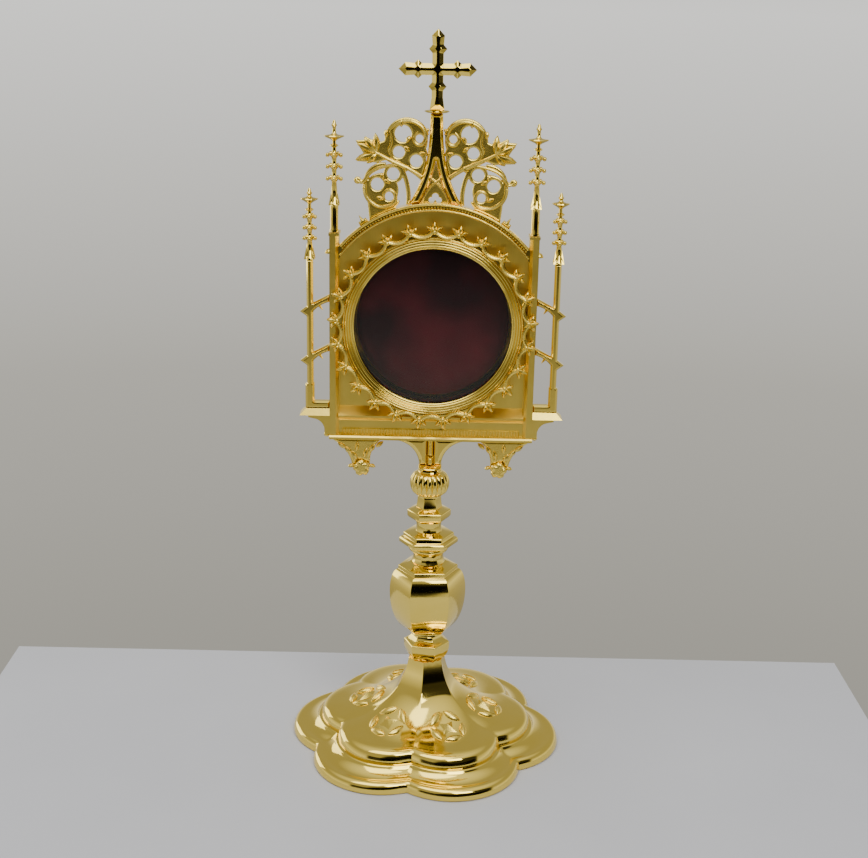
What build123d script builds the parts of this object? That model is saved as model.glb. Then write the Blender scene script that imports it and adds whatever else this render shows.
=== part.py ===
from build123d import *
import os
from math import cos, pi, radians, sin, sqrt

# Gilt brass monstrance with a Gothic head, a turned stem and a six-lobed foot.
# Frame: Z is the stem axis, Z = 0 is the surface it stands on, -Y is the front.

# Foot
foot_lobe = 78.0            # centre to the outermost point of a lobe
rim_height = 6.0            # upright edge that meets the table
flange_rise = 3.2           # from the top of the rim up to the second tier
tier_lobe = 61.0            # second tier, centre to the outermost point of a lobe
tier_height = 5.3
shoulder_rise = 3.6
deck_rise = 2.4             # gentle rise of the deck to the root of the trumpet
trumpet_root = 34.0         # corner radius where the trumpet leaves the deck
trumpet_taper = 0.28        # share of its spread that is a straight taper, the rest is flare
trumpet_top = 10.9          # corner radius under the lower collar
trumpet_height = 30.0
foot_wall = 2.0
foot_turn = -7.7            # the foot has been screwed on a little round from the head

# Stem pieces threaded on the tie rod, each from seat to seat, bottom to top
collar_height = 14.5
lower_neck_height = 2.5
knop_height = 42.5
knop_neck_height = 10.5
flange_height = 7.9
middle_neck_height = 5.9
upper_ring_height = 7.7
upper_neck_height = 7.0
bead_height = 15.0
bracket_height = 19.4
collar_width = 26.4         # six-sided pieces across the corners, round ones across the diameter
lower_neck_width = 16.6
knop_width = 43.4
knop_top_width = 33.8
knop_foot_width = 18.6
knop_neck_width = 18.8
knop_torus_width = 22.4
flange_width = 33.3
flange_tier_width = 28.6
middle_neck_width = 14.8
upper_ring_width = 24.6
upper_ring_foot_width = 17.4
upper_neck_width = 14.8
bead_width = 22.0
bead_flutes = 20
bead_flute_radius = 1.0
knop_turn = 3.7
upper_ring_turn = 3.3
collar_turn = 1.5

# Tie rod and its fixings
rod_diameter = 6.0
rod_clearance = 0.25        # radial, in every piece threaded on the rod
rod_thread_in_head = 9.0    # length screwed into the head bracket
washer_diameter = 15.0
washer_thickness = 1.6
nut_across_flats = 10.0
nut_thickness = 5.0
rod_tail = 1.5              # rod showing below the nut

# Round window and the drum behind it
glass_clear = 42.0          # clear radius seen from the front
glass_lip = 1.5             # bezel overlap on the glass
glass_thickness = 2.0
glass_clearance = 0.2
drum_wall = 2.5
drum_front = -9.0
drum_back = 16.0
drum_fit = 0.3
drum_flange_width = 3.8
drum_flange_thickness = 1.5
bezel_overhang = 2.3
bezel_base = 1.6
bezel_beads = 3
ring_section = 1.5
crest_band = 4.3
crest_leaf = 3.9            # reach of a leaf past the band
crest_count = 25
crest_thickness = 1.8
crest_clearance = 0.2
scallop_land = 1.2          # half the metal left between two scallops
flange_screw_radius = 1.0
flange_screw_head = 1.7
flange_screw_count = 4

# Rear door, its pad, hinge and turn button
door_overlap = 1.0
door_thickness = 2.0
door_gap = 0.3
door_boss_clearance = 0.7
door_boss_depth = 6.3
pad_clearance = 2.0
pad_thickness = 6.0
hinge_offset = 4.4          # drum to hinge axis
hinge_pin_radius = 1.2
hinge_clearance = 0.05
knuckle_radius = 2.5
knuckle_length = 10.0
knuckle_gap = 0.2
latch_offset = 3.8          # door edge to the turn button's axis
latch_post_radius = 2.8
latch_post_length = 8.0
latch_length = 9.5
latch_width = 4.4
latch_thickness = 1.8
latch_screw_radius = 1.2
latch_screw_head = 2.3
latch_screw_depth = 4.5
pull_radius = 3.4
pull_length = 7.5
pull_x = 32.0
pull_rivet = 1.4

# Head frame, depths measured along Y from the stem axis
head_front = -8.0           # front plane of the columns and the sill edge
head_back = 4.0
plate_front = -2.0
plate_thickness = 3.0
column_margin = 4.4         # drum to the inner face of a column
column_width = 4.8
column_splay = 1.5          # bevel along the inner front corner of a column
column_rise = 49.0          # column top above the window centre
moulding_height = 2.0
moulding_overhang = 1.4
band_height = 3.4
band_rib_pitch = 1.6
panel_height = 4.6
cornice_height = 3.2
sill_rise = 4.2
panel_recess = 2.6
sill_clearance = 0.2
cap_height = 1.4
cap_overhang = 0.4
drip_radius = 2.5
drip_below_top = 11.1

# Hood, gable, cross and side work
hood_margin = 15.5          # drum to the inside of the hood
hood_width = 4.0
hood_lip = 1.6
crown_depth = -4.0          # mid-plane of the gable, crestings, pinnacles and cross
gable_half_depth = 3.0
gable_leg = 4.8
gable_foot_x = 11.4
gable_split = 28.5          # above the crown of the hood
gable_top = 45.5
collar_radius = 6.7
collar_plate = 2.2
cross_height = 42.0         # collar to the tip of the upper arm
cross_arm = 20.0
cross_width = 5.8
cross_end_width = 6.6
cross_half_depth = 1.8
cresting_half_depth = 1.2
buttress_gap = 8.8          # column to buttress
buttress_width = 3.6
buttress_front = -7.0
buttress_back = -1.0
buttress_rise = 34.7        # buttress top above the window centre
strut_spring = 36.0         # head of the lower half-arch above the ledge
strut_pitch = 27.0
buttress_block = 14.0
block_step = 0.9
spur_reach = 3.6
strip_height = 4.0
ledge_length = 16.3
ledge_drop = 3.6
ledge_below_sill = 0.8
ledge_slope = 3.4

# Pinnacles on the columns and on the buttresses
shaft_width = 4.6
shaft_height = 14.3
tall_ring_pitch = 6.2
tall_tip = 43.5             # above the foot of the gablets
tall_gablet_width = 7.0
outer_ring_pitch = 5.9
outer_tip = 37.1
outer_gablet_width = 5.4
gablet_height = 6.8
tall_ring_radius = 4.5
outer_ring_radius = 3.9
spire_radius = 1.5

# Pendant rosettes and the centre bracket
pendant_inset = 17.4        # outer face of the column to the rosette's centre
pendant_drop = 16.8         # rosette centre below the underside of the head
rosette_radius = 4.8
pendant_depth = 6.0
bracket_half_width = 21.0
bracket_depth = 8.0
bracket_post_width = 12.4

# Derived heights along the stem
root_z = rim_height + flange_rise + tier_height + shoulder_rise + deck_rise
collar_z = root_z + trumpet_height
lower_neck_z = collar_z + collar_height
knop_z = lower_neck_z + lower_neck_height
knop_neck_z = knop_z + knop_height
flange_z = knop_neck_z + knop_neck_height
middle_neck_z = flange_z + flange_height
upper_ring_z = middle_neck_z + middle_neck_height
upper_neck_z = upper_ring_z + upper_ring_height
bead_z = upper_neck_z + upper_neck_height
bracket_z = bead_z + bead_height
head_z = bracket_z + bracket_height
sill_z = head_z + moulding_height + band_height + panel_height + cornice_height + sill_rise

# Derived rings round the window
drum_inner = glass_clear + glass_lip
drum_outer = drum_inner + drum_wall
drum_flange = drum_outer + drum_flange_width
bezel_outer = drum_outer + bezel_overhang
crest_outer = bezel_outer + crest_band
crest_tip = crest_outer + crest_leaf
hood_inner = drum_outer + hood_margin
hood_outer = hood_inner + hood_width
door_radius = drum_outer + door_overlap
door_boss_radius = drum_inner - door_boss_clearance
pad_radius = drum_inner - pad_clearance
hinge_x = drum_outer + hinge_offset
latch_x = door_radius + latch_offset
window_z = sill_z + sill_clearance + drum_outer
crown_z = window_z + hood_outer

# Derived frame of the head
column_inner = drum_outer + column_margin
head_half_width = column_inner + column_width
column_top_z = window_z + column_rise
buttress_inner = head_half_width + buttress_gap
buttress_top_z = window_z + buttress_rise
ledge_z = sill_z - ledge_below_sill
ledge_reach = head_half_width + ledge_length
pendant_x = head_half_width - pendant_inset
plate_back = plate_front + plate_thickness
hex_flat = cos(pi / 6)
rod_hole = rod_diameter / 2 + rod_clearance


def slab(sketch, front, back):
    """A sketch drawn in the XZ plane, made solid between two depths."""
    return extrude(Plane.XZ.offset(-back) * sketch, back - front)


def outline(*points):
    """A closed straight-sided outline."""
    return make_face(Polyline(*points, close=True))


def half_section(*curves):
    """Half a profile: curves from bottom to top, closed along the axis."""
    foot = curves[0] @ 0
    head = curves[-1] @ 1
    return make_face([*curves, Polyline((head.X, head.Y), (0, head.Y), (0, foot.Y), (foot.X, foot.Y))])


def turned(*curves):
    """A round piece turned about the Z axis."""
    return revolve(Plane.XZ * half_section(*curves), Axis.Z)


def faceted(*curves, turn=0.0):
    """A six-sided piece whose facets follow the profile, given to the middle of a facet."""
    half = half_section(*curves)
    bar = slab(half + mirror(half, about=Plane.YZ), -foot_lobe, foot_lobe)
    return Rot(0, 0, turn + 30) * (bar & Rot(0, 0, 60) * bar & Rot(0, 0, 120) * bar)


def bored(solid, radius=rod_hole):
    """The piece with the rod hole through it."""
    box = solid.bounding_box()
    length = box.max.Z - box.min.Z + 2
    return solid - Pos(0, 0, box.center().Z) * Cylinder(radius, length)


def about_window(sketch, front, back):
    """A sketch centred on the window, made solid between two depths."""
    return slab(Pos(0, window_z) * sketch, front, back)


def annulus(outer, inner):
    return Circle(outer) - Circle(inner)


def both(side):
    """The left and right copies of a right-hand piece."""
    return {"right": side, "left": mirror(side, about=Plane.YZ)}


# ---- Foot -------------------------------------------------------------------

def lobed_wire(height, lobe, cusp):
    """Six arcs that meet at the cusps and bulge out to the lobes."""
    arcs = []
    for k in range(6):
        a, b, c = (radians(foot_turn - 90 + 60 * k + d) for d in (0, 30, 60))
        arcs.append(ThreePointArc((cusp * cos(a), cusp * sin(a), height),
                                  (lobe * cos(b), lobe * sin(b), height),
                                  (cusp * cos(c), cusp * sin(c), height)))
    return Wire(arcs)


def lobed_stack(levels):
    return Solid.make_loft([lobed_wire(*level) for level in levels], ruled=True)


def foot_levels():
    """Height, lobe radius and cusp radius of each line round the foot, bottom to top."""
    cusp = sqrt(3) / 2
    flange_top = rim_height + flange_rise
    tier_top = flange_top + tier_height
    levels = [(0, foot_lobe, foot_lobe * cusp), (rim_height, foot_lobe, foot_lobe * cusp)]
    for rise, share in ((0.35, 0.18), (0.75, 0.65), (1.0, 0.97)):
        lobe = foot_lobe - share * (foot_lobe - tier_lobe)
        levels.append((rim_height + rise * flange_rise, lobe, lobe * cusp))
    levels.append((tier_top, tier_lobe, tier_lobe * cusp))
    for rise, inset in ((0.6, 2.2), (0.9, 6.0), (1.0, 10.0)):
        lobe = tier_lobe - inset
        levels.append((tier_top + rise * shoulder_rise, lobe, lobe * cusp))
    levels.append((root_z - 0.6 * deck_rise, trumpet_root + 9.0, trumpet_root + 4.5))
    for rise in range(9):
        t = rise / 8
        spread = (1 - trumpet_taper) * (1 - t) ** 3 + trumpet_taper * (1 - t)
        corner = trumpet_top + (trumpet_root - trumpet_top) * spread
        bulge = max(0.0, 0.17 - 0.42 * t)
        levels.append((root_z + t * trumpet_height, corner * (hex_flat + 0.005 + bulge), corner))
    return levels


def make_foot_and_trumpet():
    """The lobed foot, and the trumpet soldered on its deck."""
    levels = foot_levels()
    body = lobed_stack(levels)
    hollow = [(z - foot_wall, lobe - foot_wall, cusp - foot_wall) for z, lobe, cusp in levels]
    hollow[0] = (-1.0, foot_lobe - foot_wall, levels[0][2] - foot_wall)
    shell = bored(Solid(body.wrapped) - lobed_stack(hollow))
    seam = Plane.XY.offset(root_z)
    return {"foot": split(shell, seam, Keep.BOTTOM), "trumpet": split(shell, seam, Keep.TOP)}


# ---- Stem -------------------------------------------------------------------

def make_lower_collar():
    """Six-sided collar, swelling upwards and then sloping in to the neck."""
    foot, wide, head = trumpet_top * hex_flat, collar_width / 2 * hex_flat, lower_neck_width / 2
    z0, z1 = collar_z, lower_neck_z
    brow = z0 + 0.64 * collar_height
    return bored(faceted(Line((foot - 0.6, z0), (foot, z0 + 0.8)),
                         ThreePointArc((foot, z0 + 0.8), (wide - 0.5, z0 + 0.4 * collar_height),
                                       (wide, brow)),
                         Line((wide, brow), (head, z1)), turn=collar_turn))


def make_lower_neck():
    r, z0, z1 = lower_neck_width / 2, lower_neck_z, knop_z
    return bored(turned(ThreePointArc((r, z0), (r - 0.5, (z0 + z1) / 2), (r, z1))))


def make_knop():
    """Six-sided ball with a raised flat brow and a gently sloping top."""
    wide, head, foot = (w / 2 * hex_flat for w in (knop_width, knop_top_width, knop_foot_width))
    z0, z1 = knop_z, knop_neck_z
    belly, brow, edge = z0 + 0.56 * knop_height, z1 - 5.2, z1 - 3.0
    hip, hip_z = foot + 0.68 * (wide - foot), z0 + 0.26 * knop_height
    cup = ThreePointArc((foot, z0), (foot + 0.39 * (wide - foot), z0 + 0.12 * knop_height), (hip, hip_z))
    swell = ThreePointArc((hip, hip_z), (wide, belly), (head, brow))
    return bored(faceted(cup, swell, Line((head, brow), (head - 0.2, edge)),
                         Line((head - 0.2, edge), (knop_neck_width / 2, z1)), turn=knop_turn))


def make_knop_neck():
    r, bulge, z0, z1 = knop_neck_width / 2, knop_torus_width / 2, knop_neck_z, flange_z
    low, high = z0 + 4.0, z0 + 7.6
    return bored(turned(ThreePointArc((r, z0), (r - 0.7, (z0 + low) / 2), (r, low)),
                        ThreePointArc((r, low), (bulge, (low + high) / 2), (r + 0.4, high)),
                        Line((r + 0.4, high), (r + 0.4, z1))))


def make_hex_flange():
    """Two six-sided plates, the lower one wider and bevelled on top."""
    wide, tier, root = flange_width / 2 * hex_flat, flange_tier_width / 2 * hex_flat, middle_neck_width / 2
    z0, z1 = flange_z, middle_neck_z
    points = ((wide - 1.6, z0), (wide, z0 + 0.5), (wide, z0 + 2.7), (wide - 1.0, z0 + 4.3),
              (tier, z0 + 4.5),
              (tier, z0 + 6.7), (root, z1))
    return bored(faceted(Polyline(*points), turn=collar_turn))


def make_middle_neck():
    r, z0, z1 = middle_neck_width / 2, middle_neck_z, upper_ring_z
    return bored(turned(ThreePointArc((r, z0), (r - 0.4, (z0 + z1) / 2), (r, z1))))


def make_upper_ring():
    """Six-sided ring, rounded in underneath."""
    wide, foot, head = (w / 2 * hex_flat for w in (upper_ring_width, upper_ring_foot_width,
                                                   upper_neck_width))
    z0, z1 = upper_ring_z, upper_neck_z
    low, high = z0 + 3.6, z1 - 0.8
    return bored(faceted(ThreePointArc((foot, z0), (foot + 0.62 * (wide - foot), z0 + 1.5), (wide, low)),
                         Line((wide, low), (wide, high)), Line((wide, high), (head, z1)),
                         turn=upper_ring_turn))


def make_upper_neck():
    """Slightly tapered six-sided neck."""
    r, z0, z1 = upper_neck_width / 2 * hex_flat, upper_neck_z, bead_z
    return bored(faceted(Line((r, z0), (r - 0.7, z1)), turn=upper_ring_turn))


def make_ribbed_bead():
    """Melon bead: a round bead with upright flutes between narrow ribs."""
    wide, z0, z1 = bead_width / 2, bead_z, bracket_z
    root = upper_neck_width / 2 * hex_flat - 0.7
    middle = (z0 + z1) / 2
    bead = turned(ThreePointArc((root, z0), (wide, middle), (root, z1)))
    curve = (wide ** 2 - root ** 2 + (bead_height / 2) ** 2) / (2 * (wide - root))
    for k in range(bead_flutes):
        groove = Pos(wide - curve, 0, middle) * Rot(90, 0, 0) * Torus(curve + 0.35, bead_flute_radius * 0.8)
        bead -= Rot(0, 0, 360 / bead_flutes * (k + 0.5)) * groove
    return bored(bead)


def make_head_bracket():
    """Post over the bead with a concave wing to each side under the plinth."""
    half, wing, z0, z1 = bracket_post_width / 2, bracket_half_width, bracket_z, head_z
    face = make_face([Line((half, z0 + 3.5), (half, z0 + 4.5)),
                      ThreePointArc((half, z0 + 4.5), (half + 4.5, z1 - 6.0), (wing, z1 - 2.2)),
                      Polyline((wing, z1 - 2.2), (wing, z1), (0, z1), (0, z0 + 3.5), (half, z0 + 3.5))])
    body = slab(face + mirror(face, about=Plane.YZ), -bracket_depth / 2, bracket_depth / 2)
    seat = upper_neck_width / 2
    body += Pos(0, 0, z0 + 1.75) * Cylinder(seat, 3.5)
    body += Pos(0, 0, (z0 + z1) / 2) * Box(3.5, bracket_depth + 4.0, bracket_height)
    body += Pos(0, 0, (z0 + z1) / 2) * Cylinder(rod_diameter / 2 + 2.2, bracket_height)
    return body - Pos(0, 0, z0 + rod_thread_in_head / 2) * Cylinder(rod_diameter / 2, rod_thread_in_head)


def make_rod_set():
    """Tie rod from the nut inside the foot up into the head bracket."""
    seat = collar_z - foot_wall
    washer_z = seat - washer_thickness
    nut_z = washer_z - nut_thickness
    foot_z = nut_z - rod_tail
    top = bracket_z + rod_thread_in_head
    rod = Pos(0, 0, (foot_z + top) / 2) * Cylinder(rod_diameter / 2, top - foot_z)
    washer = Pos(0, 0, washer_z + washer_thickness / 2) * Cylinder(washer_diameter / 2, washer_thickness)
    hexagon = RegularPolygon(nut_across_flats / 2, 6, major_radius=False)
    nut = Pos(0, 0, nut_z) * extrude(hexagon, nut_thickness)
    return {"tie_rod": rod, "foot_washer": bored(washer), "foot_nut": bored(nut, rod_diameter / 2)}


# ---- Frame of the head ------------------------------------------------------


def make_plinth():
    """Sill, cornice and recessed panel, in one length between the columns."""
    z0 = head_z + moulding_height
    panel_top = z0 + band_height + panel_height
    sill_edge = panel_top + cornice_height
    face = head_front + panel_recess
    section = make_face([
        Polyline((head_back, z0), (head_back, sill_edge + sill_rise), (plate_front, sill_edge + sill_rise),
                 (head_front, sill_edge), (head_front, sill_edge - 1.0)),
        ThreePointArc((head_front, sill_edge - 1.0), (face - 1.2, sill_edge - 1.7), (face, panel_top)),
        Polyline((face, panel_top), (face, z0), (head_back, z0))])
    return extrude(Plane.YZ.offset(-column_inner) * section, 2 * column_inner)


def make_knurled_band():
    """Strip of fine upright ribs along the foot of the panel."""
    half = column_inner - 2.0
    count = int(2 * half / band_rib_pitch)
    base = head_front + panel_recess
    points = [(-half, base)]
    for k in range(count):
        x = -half + 2 * half * k / count
        points += [(x, base - 0.9), (x + half / count, base - 1.5)]
    points += [(half, base - 0.9), (half, base)]
    return Pos(0, 0, head_z + moulding_height) * extrude(outline(*points), band_height)


def make_plinth_moulding():
    half, front = head_half_width + 0.2, head_front - moulding_overhang
    slab_box = Pos(0, (front + head_back) / 2, head_z + moulding_height / 2) * Box(
        2 * half, head_back - front, moulding_height)
    edge = slab_box.edges().filter_by(Axis.X).group_by(Axis.Y)[0].group_by(Axis.Z)[-1]
    return chamfer(edge, 0.8)


def make_column():
    """Square column with a splayed inner front corner, a drip knob and a cap."""
    inner, outer = column_inner, head_half_width
    plan = outline((inner, head_front + column_splay), (inner + column_splay, head_front),
                   (outer, head_front),
                   (outer, head_back), (inner, head_back))
    z0 = head_z + moulding_height
    body = Pos(0, 0, z0) * extrude(plan, column_top_z - cap_height - z0)
    centre = (inner + outer) / 2
    cap = Pos(centre, (head_front + head_back) / 2, column_top_z - cap_height / 2) * Box(
        column_width + 2 * cap_overhang, head_back - head_front + 2 * cap_overhang, cap_height)
    knob_y, knob_z = head_front + drip_radius + 0.5, column_top_z - drip_below_top
    knob = Pos(outer, knob_y, knob_z) * Sphere(drip_radius)
    box = 4 * drip_radius
    under = Pos(outer, knob_y, knob_z - drip_radius) * Box(box, box, box / 2)
    inside = Pos(inner - drip_radius, knob_y, knob_z) * Box(box / 2, box, box)
    return body + cap + (knob - under - inside)


def spirelet(x, y, z, gablet_width, ring_radius, pitch, tip):
    """Gabled block with a needle spire carrying three crocket rings, a small ring and a finial bowl."""
    half = gablet_width / 2
    gable = outline((-half, 0), (half, 0), (half, 0.3 * gablet_height), (0, gablet_height),
                    (-half, 0.3 * gablet_height))
    block = slab(gable, -half, half)
    block += Rot(0, 0, 90) * block
    waist = spire_radius * 0.62
    first = gablet_height + 0.5 * pitch
    profile = [(spire_radius, 0)]
    for k in range(3):
        level = first + k * pitch
        profile += [(spire_radius, level - 1.5), (ring_radius, level - 0.4), (ring_radius, level + 0.4),
                    (spire_radius, level + 1.2)]
    small, bowl = first + 2 * pitch + 0.75 * pitch, tip - 8.0
    profile += [(waist, small - 1.2), (0.55 * ring_radius, small), (waist, small + 1.0),
                (waist, bowl - 2.2),
                (1.2 * ring_radius, bowl), (1.2 * ring_radius, bowl + 0.7), (waist, bowl + 1.4),
                (waist, tip - 3.2), (1.9 * waist, tip - 1.6), (waist, tip)]
    spire = turned(Polyline(*profile))
    return Pos(x, y, z) * (block + spire)


def make_pinnacle():
    centre = (column_inner + head_half_width) / 2
    z0 = column_top_z
    plan = RegularPolygon(shaft_width / 2, 8, major_radius=False, rotation=22.5)
    shaft = Pos(centre, crown_depth, z0) * extrude(plan, shaft_height)
    top = spirelet(centre, crown_depth, z0 + shaft_height, tall_gablet_width, tall_ring_radius,
                   tall_ring_pitch, tall_tip)
    return shaft + top


def make_outer_pinnacle():
    centre = buttress_inner + buttress_width / 2
    return spirelet(centre, crown_depth, buttress_top_z, outer_gablet_width, outer_ring_radius,
                    outer_ring_pitch, outer_tip)


def make_ledge():
    """Bevelled side ledge carried on a stepped, rounded corbel with a small ball below."""
    z1 = ledge_z
    z0 = z1 - ledge_drop
    inner, outer = head_half_width, ledge_reach
    low = Pos((inner + outer) / 2, -3.0, z0) * Rectangle(outer - inner, 11.0)
    high = Pos((inner + outer - ledge_slope) / 2, -3.0, z1) * Rectangle(outer - inner - ledge_slope,
                                                                        11.0 - 2 * 2.2)
    top = loft([low, high])
    foot = head_z + moulding_height
    corbel = make_face([
        Polyline((inner, foot), (inner, z0), (outer - 4.5, z0), (outer - 4.5, z0 - 1.6),
                 (outer - 8.5, z0 - 2.4)),
        ThreePointArc((outer - 8.5, z0 - 2.4), (inner + 5.2, z0 - 3.8), (inner + 3.0, foot + 1.4)),
        Polyline((inner + 3.0, foot + 1.4), (inner + 2.6, foot), (inner, foot))])
    ball = Pos(inner + 1.9, -4.0, foot - 0.6) * Sphere(1.5)
    return top + slab(corbel, -6.5, 0.5) + ball


def make_buttress():
    """Slender outer buttress tied to the column by two flying half-arches and a strip at the foot."""
    x0, x1 = buttress_inner, buttress_inner + buttress_width
    z0, z1 = ledge_z, buttress_top_z
    wall = head_half_width
    sketch = outline((x0, z0), (x1, z0), (x1, z1), (x0, z1))
    sketch += outline((x0 - block_step / 2, z0), (x1 + block_step, z0),
                      (x1 + block_step, z0 + buttress_block - 0.8),
                      (x1, z0 + buttress_block), (x0 - block_step / 2, z0 + buttress_block))
    sketch += outline((wall, z0), (x0, z0), (x0, z0 + strip_height), (wall, z0 + strip_height))
    for k in range(2):
        top = z0 + strut_spring + k * strut_pitch
        arch = make_face([
            Polyline((x0 + 1, top - 11.0), (x0 + 1, top - 5.2), (wall, top), (wall, top - 4.2)),
            ThreePointArc((wall, top - 4.2), (x0 - 3.6, top - 6.4), (x0 + 1, top - 11.0))])
        cusp = outline((x0 - 3.6, top - 5.0), (x0 - 5.2, top - 9.0), (x0 - 1.6, top - 6.0))
        spur = outline((x1 - 0.5, top - 12.5), (x1 + spur_reach, top - 9.6), (x1, top - 6.8),
                       (x1 - 0.5, top - 5.4))
        sketch += arch + cusp + spur
    return slab(sketch, buttress_front, buttress_back)


def make_back_plate():
    sheet = Pos(0, window_z) * (Circle(hood_inner) & Rectangle(2 * column_inner, 2 * hood_inner))
    foot = sill_z
    sheet = sheet + outline((-column_inner, foot), (column_inner, foot), (column_inner, window_z),
                            (-column_inner, window_z))
    below = outline((-column_inner, foot), (column_inner, foot), (column_inner, foot - 60),
                    (-column_inner, foot - 60))
    sheet = sheet - below - Pos(0, window_z) * Circle(drum_outer + drum_fit)
    return slab(sheet, plate_front, plate_back)


def make_hood():
    """Round hood between the columns, with a raised outer lip."""
    clip = Pos(0, hood_outer / 2) * Rectangle(2 * column_inner, hood_outer)
    reach = sqrt(hood_inner ** 2 - column_inner ** 2)
    upper = Pos(0, reach + hood_outer / 2) * Rectangle(2 * column_inner, hood_outer)
    core = about_window(annulus(hood_outer, hood_inner) & (clip & upper), head_front + 1.2, plate_back)
    lip = about_window(annulus(hood_outer, hood_outer - hood_lip) & (clip & upper), head_front - 0.6,
                       head_front + 1.2)
    return core + lip


def make_hood_crockets():
    """Small three-leaved crocket on each shoulder of the hood."""
    leaf = outline((-2.6, -0.6), (-2.2, 1.6), (-0.9, 1.4), (0, 4.6), (0.9, 1.4), (2.2, 1.6), (2.6, -0.6))
    parts = []
    for lean in (-34.5, 34.5):
        shape = Rot(0, 0, -lean) * (Pos(0, hood_outer + 0.55) * leaf) - Circle(hood_outer)
        parts.append(about_window(shape, crown_depth - 1.5, crown_depth + 1.5))
    return parts


# ---- Gable, cross and crestings --------------------------------------------

def leg_curve(side):
    return Spline((side * gable_foot_x, crown_z - 1.6), (side * 7.3, crown_z + 6.3),
                  (side * 3.7, crown_z + 16.4),
                  (side * 1.6, crown_z + gable_split), (side * 0.9, crown_z + gable_top))


def make_gable():
    """Two concave legs that rise from the hood and close into a slender shaft."""
    legs = trace(leg_curve(1), gable_leg) + trace(leg_curve(-1), gable_leg)
    legs += Pos(0, crown_z + (gable_split + gable_top) / 2) * Rectangle(gable_leg, gable_top - gable_split)
    legs = legs & outline((-30, crown_z - 3), (30, crown_z - 3), (30, crown_z + gable_top),
                          (-30, crown_z + gable_top))
    legs = legs - Pos(0, window_z) * Circle(hood_outer)
    return slab(legs, crown_depth - gable_half_depth, crown_depth + gable_half_depth)


def make_gable_tracery():
    """Thin web between the legs with two crossing ribs that leave a pointed arch below."""
    inside = make_face([leg_curve(1), Line(leg_curve(1) @ 1, leg_curve(-1) @ 1),
                        leg_curve(-1), Line(leg_curve(-1) @ 0, leg_curve(1) @ 0)])
    inside = inside - trace(leg_curve(1), gable_leg + 0.1) - trace(leg_curve(-1), gable_leg + 0.1)
    inside = inside - Pos(0, window_z) * Circle(hood_outer)
    inside = inside & (Pos(0, crown_z + 10) * Rectangle(20, 22))
    ribs = Sketch()
    for side in (-1, 1):
        ribs += trace(ThreePointArc((side * 7.6, crown_z - 0.6), (side * 4.4, crown_z + 6.2),
                                    (-side * 2.4, crown_z + 12.4)),
                      1.1)
    lobes = Circle(1.7) + Pos(-1.9, -1.9) * Circle(1.5) + Pos(1.9, -1.9) * Circle(1.5)
    opening = Pos(0, crown_z + 3.2) * lobes
    web = slab(inside - opening, crown_depth - 0.8, crown_depth + 0.8)
    raised = slab(ribs & inside, crown_depth - 2.2, crown_depth - 0.8)
    return web + raised


def make_cross_collar():
    z0 = crown_z + gable_top
    return Pos(0, crown_depth, z0) * turned(Polyline((2.2, 0), (collar_radius - 1.2, 0.5),
                                                     (collar_radius, 1.1),
                                                     (collar_radius - 0.8, 1.7), (2.6, collar_plate)))


def make_cross():
    """Latin cross with flared, pointed ends and a cusp half-way along each arm."""
    z0 = crown_z + gable_top + collar_plate
    top = crown_z + gable_top + cross_height
    centre = top - cross_arm
    w, e = cross_width / 2, cross_end_width / 2

    def arm(length, cusp):
        sides = [(w, 0), (w, cusp - 2), (w + 1.8, cusp), (w, cusp + 2), (e, length - 3.4), (0, length)]
        return outline(*sides, *[(-x, y) for x, y in reversed(sides[:-1])])

    sketch = Pos(0, centre) * arm(cross_arm, 0.5 * cross_arm)
    for turn in (90, -90):
        sketch += Pos(0, centre) * Rot(0, 0, turn) * arm(cross_arm, 0.5 * cross_arm)
    shaft = centre - z0
    sketch += outline((-w - 0.9, z0), (w + 0.9, z0), (w, z0 + 6), (w, z0 + shaft - 10.5),
                      (w + 1.8, centre - 8.5),
                      (w, centre - 6.5), (w, centre), (-w, centre), (-w, centre - 6.5),
                      (-w - 1.8, centre - 8.5),
                      (-w, z0 + shaft - 10.5), (-w, z0 + 6))
    return slab(sketch, crown_depth - cross_half_depth, crown_depth + cross_half_depth)


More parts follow.
